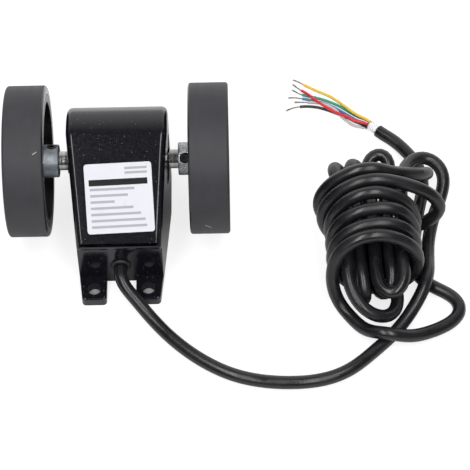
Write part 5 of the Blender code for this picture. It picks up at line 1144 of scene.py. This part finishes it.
# %% [markdown]
# Now each piece gets its finish, is tied to the body it moves with, and takes the place of its solid. The
# solids that stay, most of them inside the housing, get finishes too.


# %% Finishes and bodies
def place(piece, body, slot_name, material, *replaced):
    piece.data.materials.clear()
    piece.data.materials.append(material)
    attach(piece, body)
    if replaced:
        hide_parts(*replaced)


place(cable, "base", "cable_sheath", sheath, "cable_lead", "cable_bundle", "cable_tail")
place(wrap, "base", "white_plastic", white_film, "shield_wrap")
for colour in cores:
    place(cores[colour], "base", f"wire_{colour}", skins[colour], f"wire_{colour}")
    place(tips[colour], "base", f"wire_{colour}", tin)
place(housing, "base", "black_gloss_paint", paint, "housing")
place(label, "base", "label_film", label_finish, "label_plate")
place(bush, "base", "black_plastic", plastic, "cable_grommet")
for number, screw in enumerate(cover_screws, start=1):
    place(screw, "base", "ground_steel", steel, f"base_cover_screw_{number}")
place(shaft, "rotor", "ground_steel", steel, "main_shaft")
for word, (tyre, rim, hub, grub_screw) in wheels.items():
    place(tyre, "rotor", "tread_rubber", rubbers[word], f"{word}_tyre")
    place(rim, "rotor", "black_plastic", rim_finish, f"{word}_wheel_rim")
    place(hub, "rotor", "zinc_plated_steel", hub_finishes[word], f"{word}_wheel_hub")
    place(grub_screw, "rotor", "black_oxide_steel", dark_steel, f"{word}_set_screw")
    for piece, body, name in zip(bearings[word], ("base", "rotor", "base"),
                                 ("outer_ring", "inner_ring", "outer_shield")):
        place(piece, body, "ground_steel", steel, f"{word}_bearing_{name}")

by_slot = {"black_gloss_paint": paint, "black_plastic": plastic, "ground_steel": steel,
           "black_oxide_steel": dark_steel, "turned_aluminium": aluminium, "board_laminate": laminate,
           "white_plastic": white_film, "cable_sheath": sheath}
for part in frame["record"]["subparts"]:
    solid, kept = nodes[part["node"]], by_slot.get(part["material_slot"])
    if kept:
        for holder in solid.material_slots:
            holder.material = kept
print("finished")

# %% [markdown]
# The length of each core is printed. The six cores start
# where the white wrap ends.

# %% The lengths of the cores
for (colour, core), start in zip(cores.items(), starts):
    length = float(lengths_along(np.array([point.co[:3] for point in core.data.splines[0].points]))[-1])
    print(colour, round(1000 * length, 1), "mm")

# %% [markdown]
# The photograph was taken on white, with broad soft light. The part lies on a white floor. A large soft panel
# leans over it from behind, bright along its low side and darker towards the top: its reflection is the pale
# fade on the housing's rounded top, which ends before the sloping face. Two long narrow lights lean in from
# the sides, and draw the thin lines along the housing's edges. From the front itself little comes, so the
# sloping face stays black. What is seen of the floor straight on is lifted to white, and so is its far part
# where glossy pieces mirror it, but it still takes the part's shadow. Where glossy pieces mirror it, the
# floor's colour is a little darker, and under the tab holes it is not lifted and stays dark: both are painted
# shade.


# %% Floor and light
PAPER_LIFT, PAPER_SHARE, FLOOR_Y, STRIP, AMBIENT = 0.78, 0.32, 1.0, 7.4, 0.13
PANEL_SIZE, PANEL_PLACE, PANEL_LEAN = (4.5, 3.33, 1), (0, 1.482, 1.001), math.radians(-37)
PANEL_FADE, PANEL_GLOW = (-1.62, 0.03), (0.14, 1.12)


def strip(name, low_end, high_end, width, radiance):
    """A long soft light from one end to the other, turned towards the part."""
    low_end, high_end = Vector(low_end), Vector(high_end)
    middle, along = (low_end + high_end) / 2, (high_end - low_end).normalized()
    back = (middle - middle.dot(along) * along).normalized()
    length = (high_end - low_end).length
    bpy.ops.object.light_add(type="AREA")
    made = bpy.context.object
    made.name = name
    turn = Matrix((along.cross(back), along, back)).transposed().to_4x4()
    made.matrix_world = Matrix.Translation(middle) @ turn
    made.data.shape, made.data.size, made.data.size_y = "RECTANGLE", width, length
    made.data.energy = radiance * math.pi * width * length
    return made


def stage_plane(name, size, location, rotation, material):
    bpy.ops.mesh.primitive_plane_add(size=size, location=location, rotation=rotation)
    made = bpy.context.object
    made.name = name
    made.data.materials.append(material)
    return made


paper = finish("white paper", (0.93, 0.93, 0.93), 0.85, mottle=(3.0, 0.004), grain=(300.0, 1e-6),
               rough_spread=0.02)
tree, skin = shader_of(paper)
seen = node(tree, "LightPath").outputs
behind = ranged(tree, parts_of(tree, object_place(tree))[1], (-0.9, -0.7))
mirrored = reckon(tree, "MULTIPLY", seen["Is Glossy Ray"], behind)
directly = reckon(tree, "MAXIMUM", seen["Is Camera Ray"], mirrored)
part_place = vectors(tree, "ADD", object_place(tree), (0, FLOOR_Y, 0))
# Under the tab holes the floor's lift to white is dropped: painted shade on the floor seen through the holes.
lift = ranged(tree, by_tab_hole(tree, part_place, 0.3), (0.0, 1.0), (PAPER_LIFT, 0.0))
feed(tree, skin["Emission Strength"], reckon(tree, "MULTIPLY", directly, lift))
skin["Emission Color"].default_value = (1, 1, 1, 1)
# In glossy reflections the floor's colour is a little darker: painted shade.
colour = mixed(tree, seen["Is Glossy Ray"], source(skin["Base Color"]), (0.8, 0.8, 0.8, 1))
colour = mixed(tree, seen["Is Camera Ray"], colour, (PAPER_SHARE, PAPER_SHARE, PAPER_SHARE, 1))
feed(tree, skin["Base Color"], colour)
stage_plane("floor", 8, (0, FLOOR_Y, 0), (0, 0, 0), paper)

glow = bpy.data.materials.new("soft panel")
glow.use_nodes = True
tree = glow.node_tree
tree.nodes.remove(tree.nodes["Principled BSDF"])
level = ranged(tree, parts_of(tree, object_place(tree))[1], PANEL_FADE, PANEL_GLOW,
               interpolation_type="SMOOTHSTEP")
emission = node(tree, "Emission", {"Strength": level}).outputs[0]
tree.links.new(emission, tree.nodes["Material Output"].inputs["Surface"])
panel = stage_plane("soft panel", 1, PANEL_PLACE, (PANEL_LEAN, 0, 0), glow)
panel.scale = PANEL_SIZE
pick(panel)
bpy.ops.object.transform_apply(location=False, rotation=False, scale=True)
for word, side_x in (("left", -1), ("right", 1)):
    strip(f"{word} strip", (side_x * 0.38, -1.2, 0.85), (side_x * 0.36, 0.09, 1.35), 0.3, STRIP)
world = bpy.data.worlds.new("studio")
bpy.context.scene.world = world
world.use_nodes = True
around = world.node_tree.nodes["Background"].inputs
around["Color"].default_value, around["Strength"].default_value = (1, 1, 1, 1), AMBIENT
bpy.context.scene.view_settings.view_transform = "Standard"
print("stage and lamps")
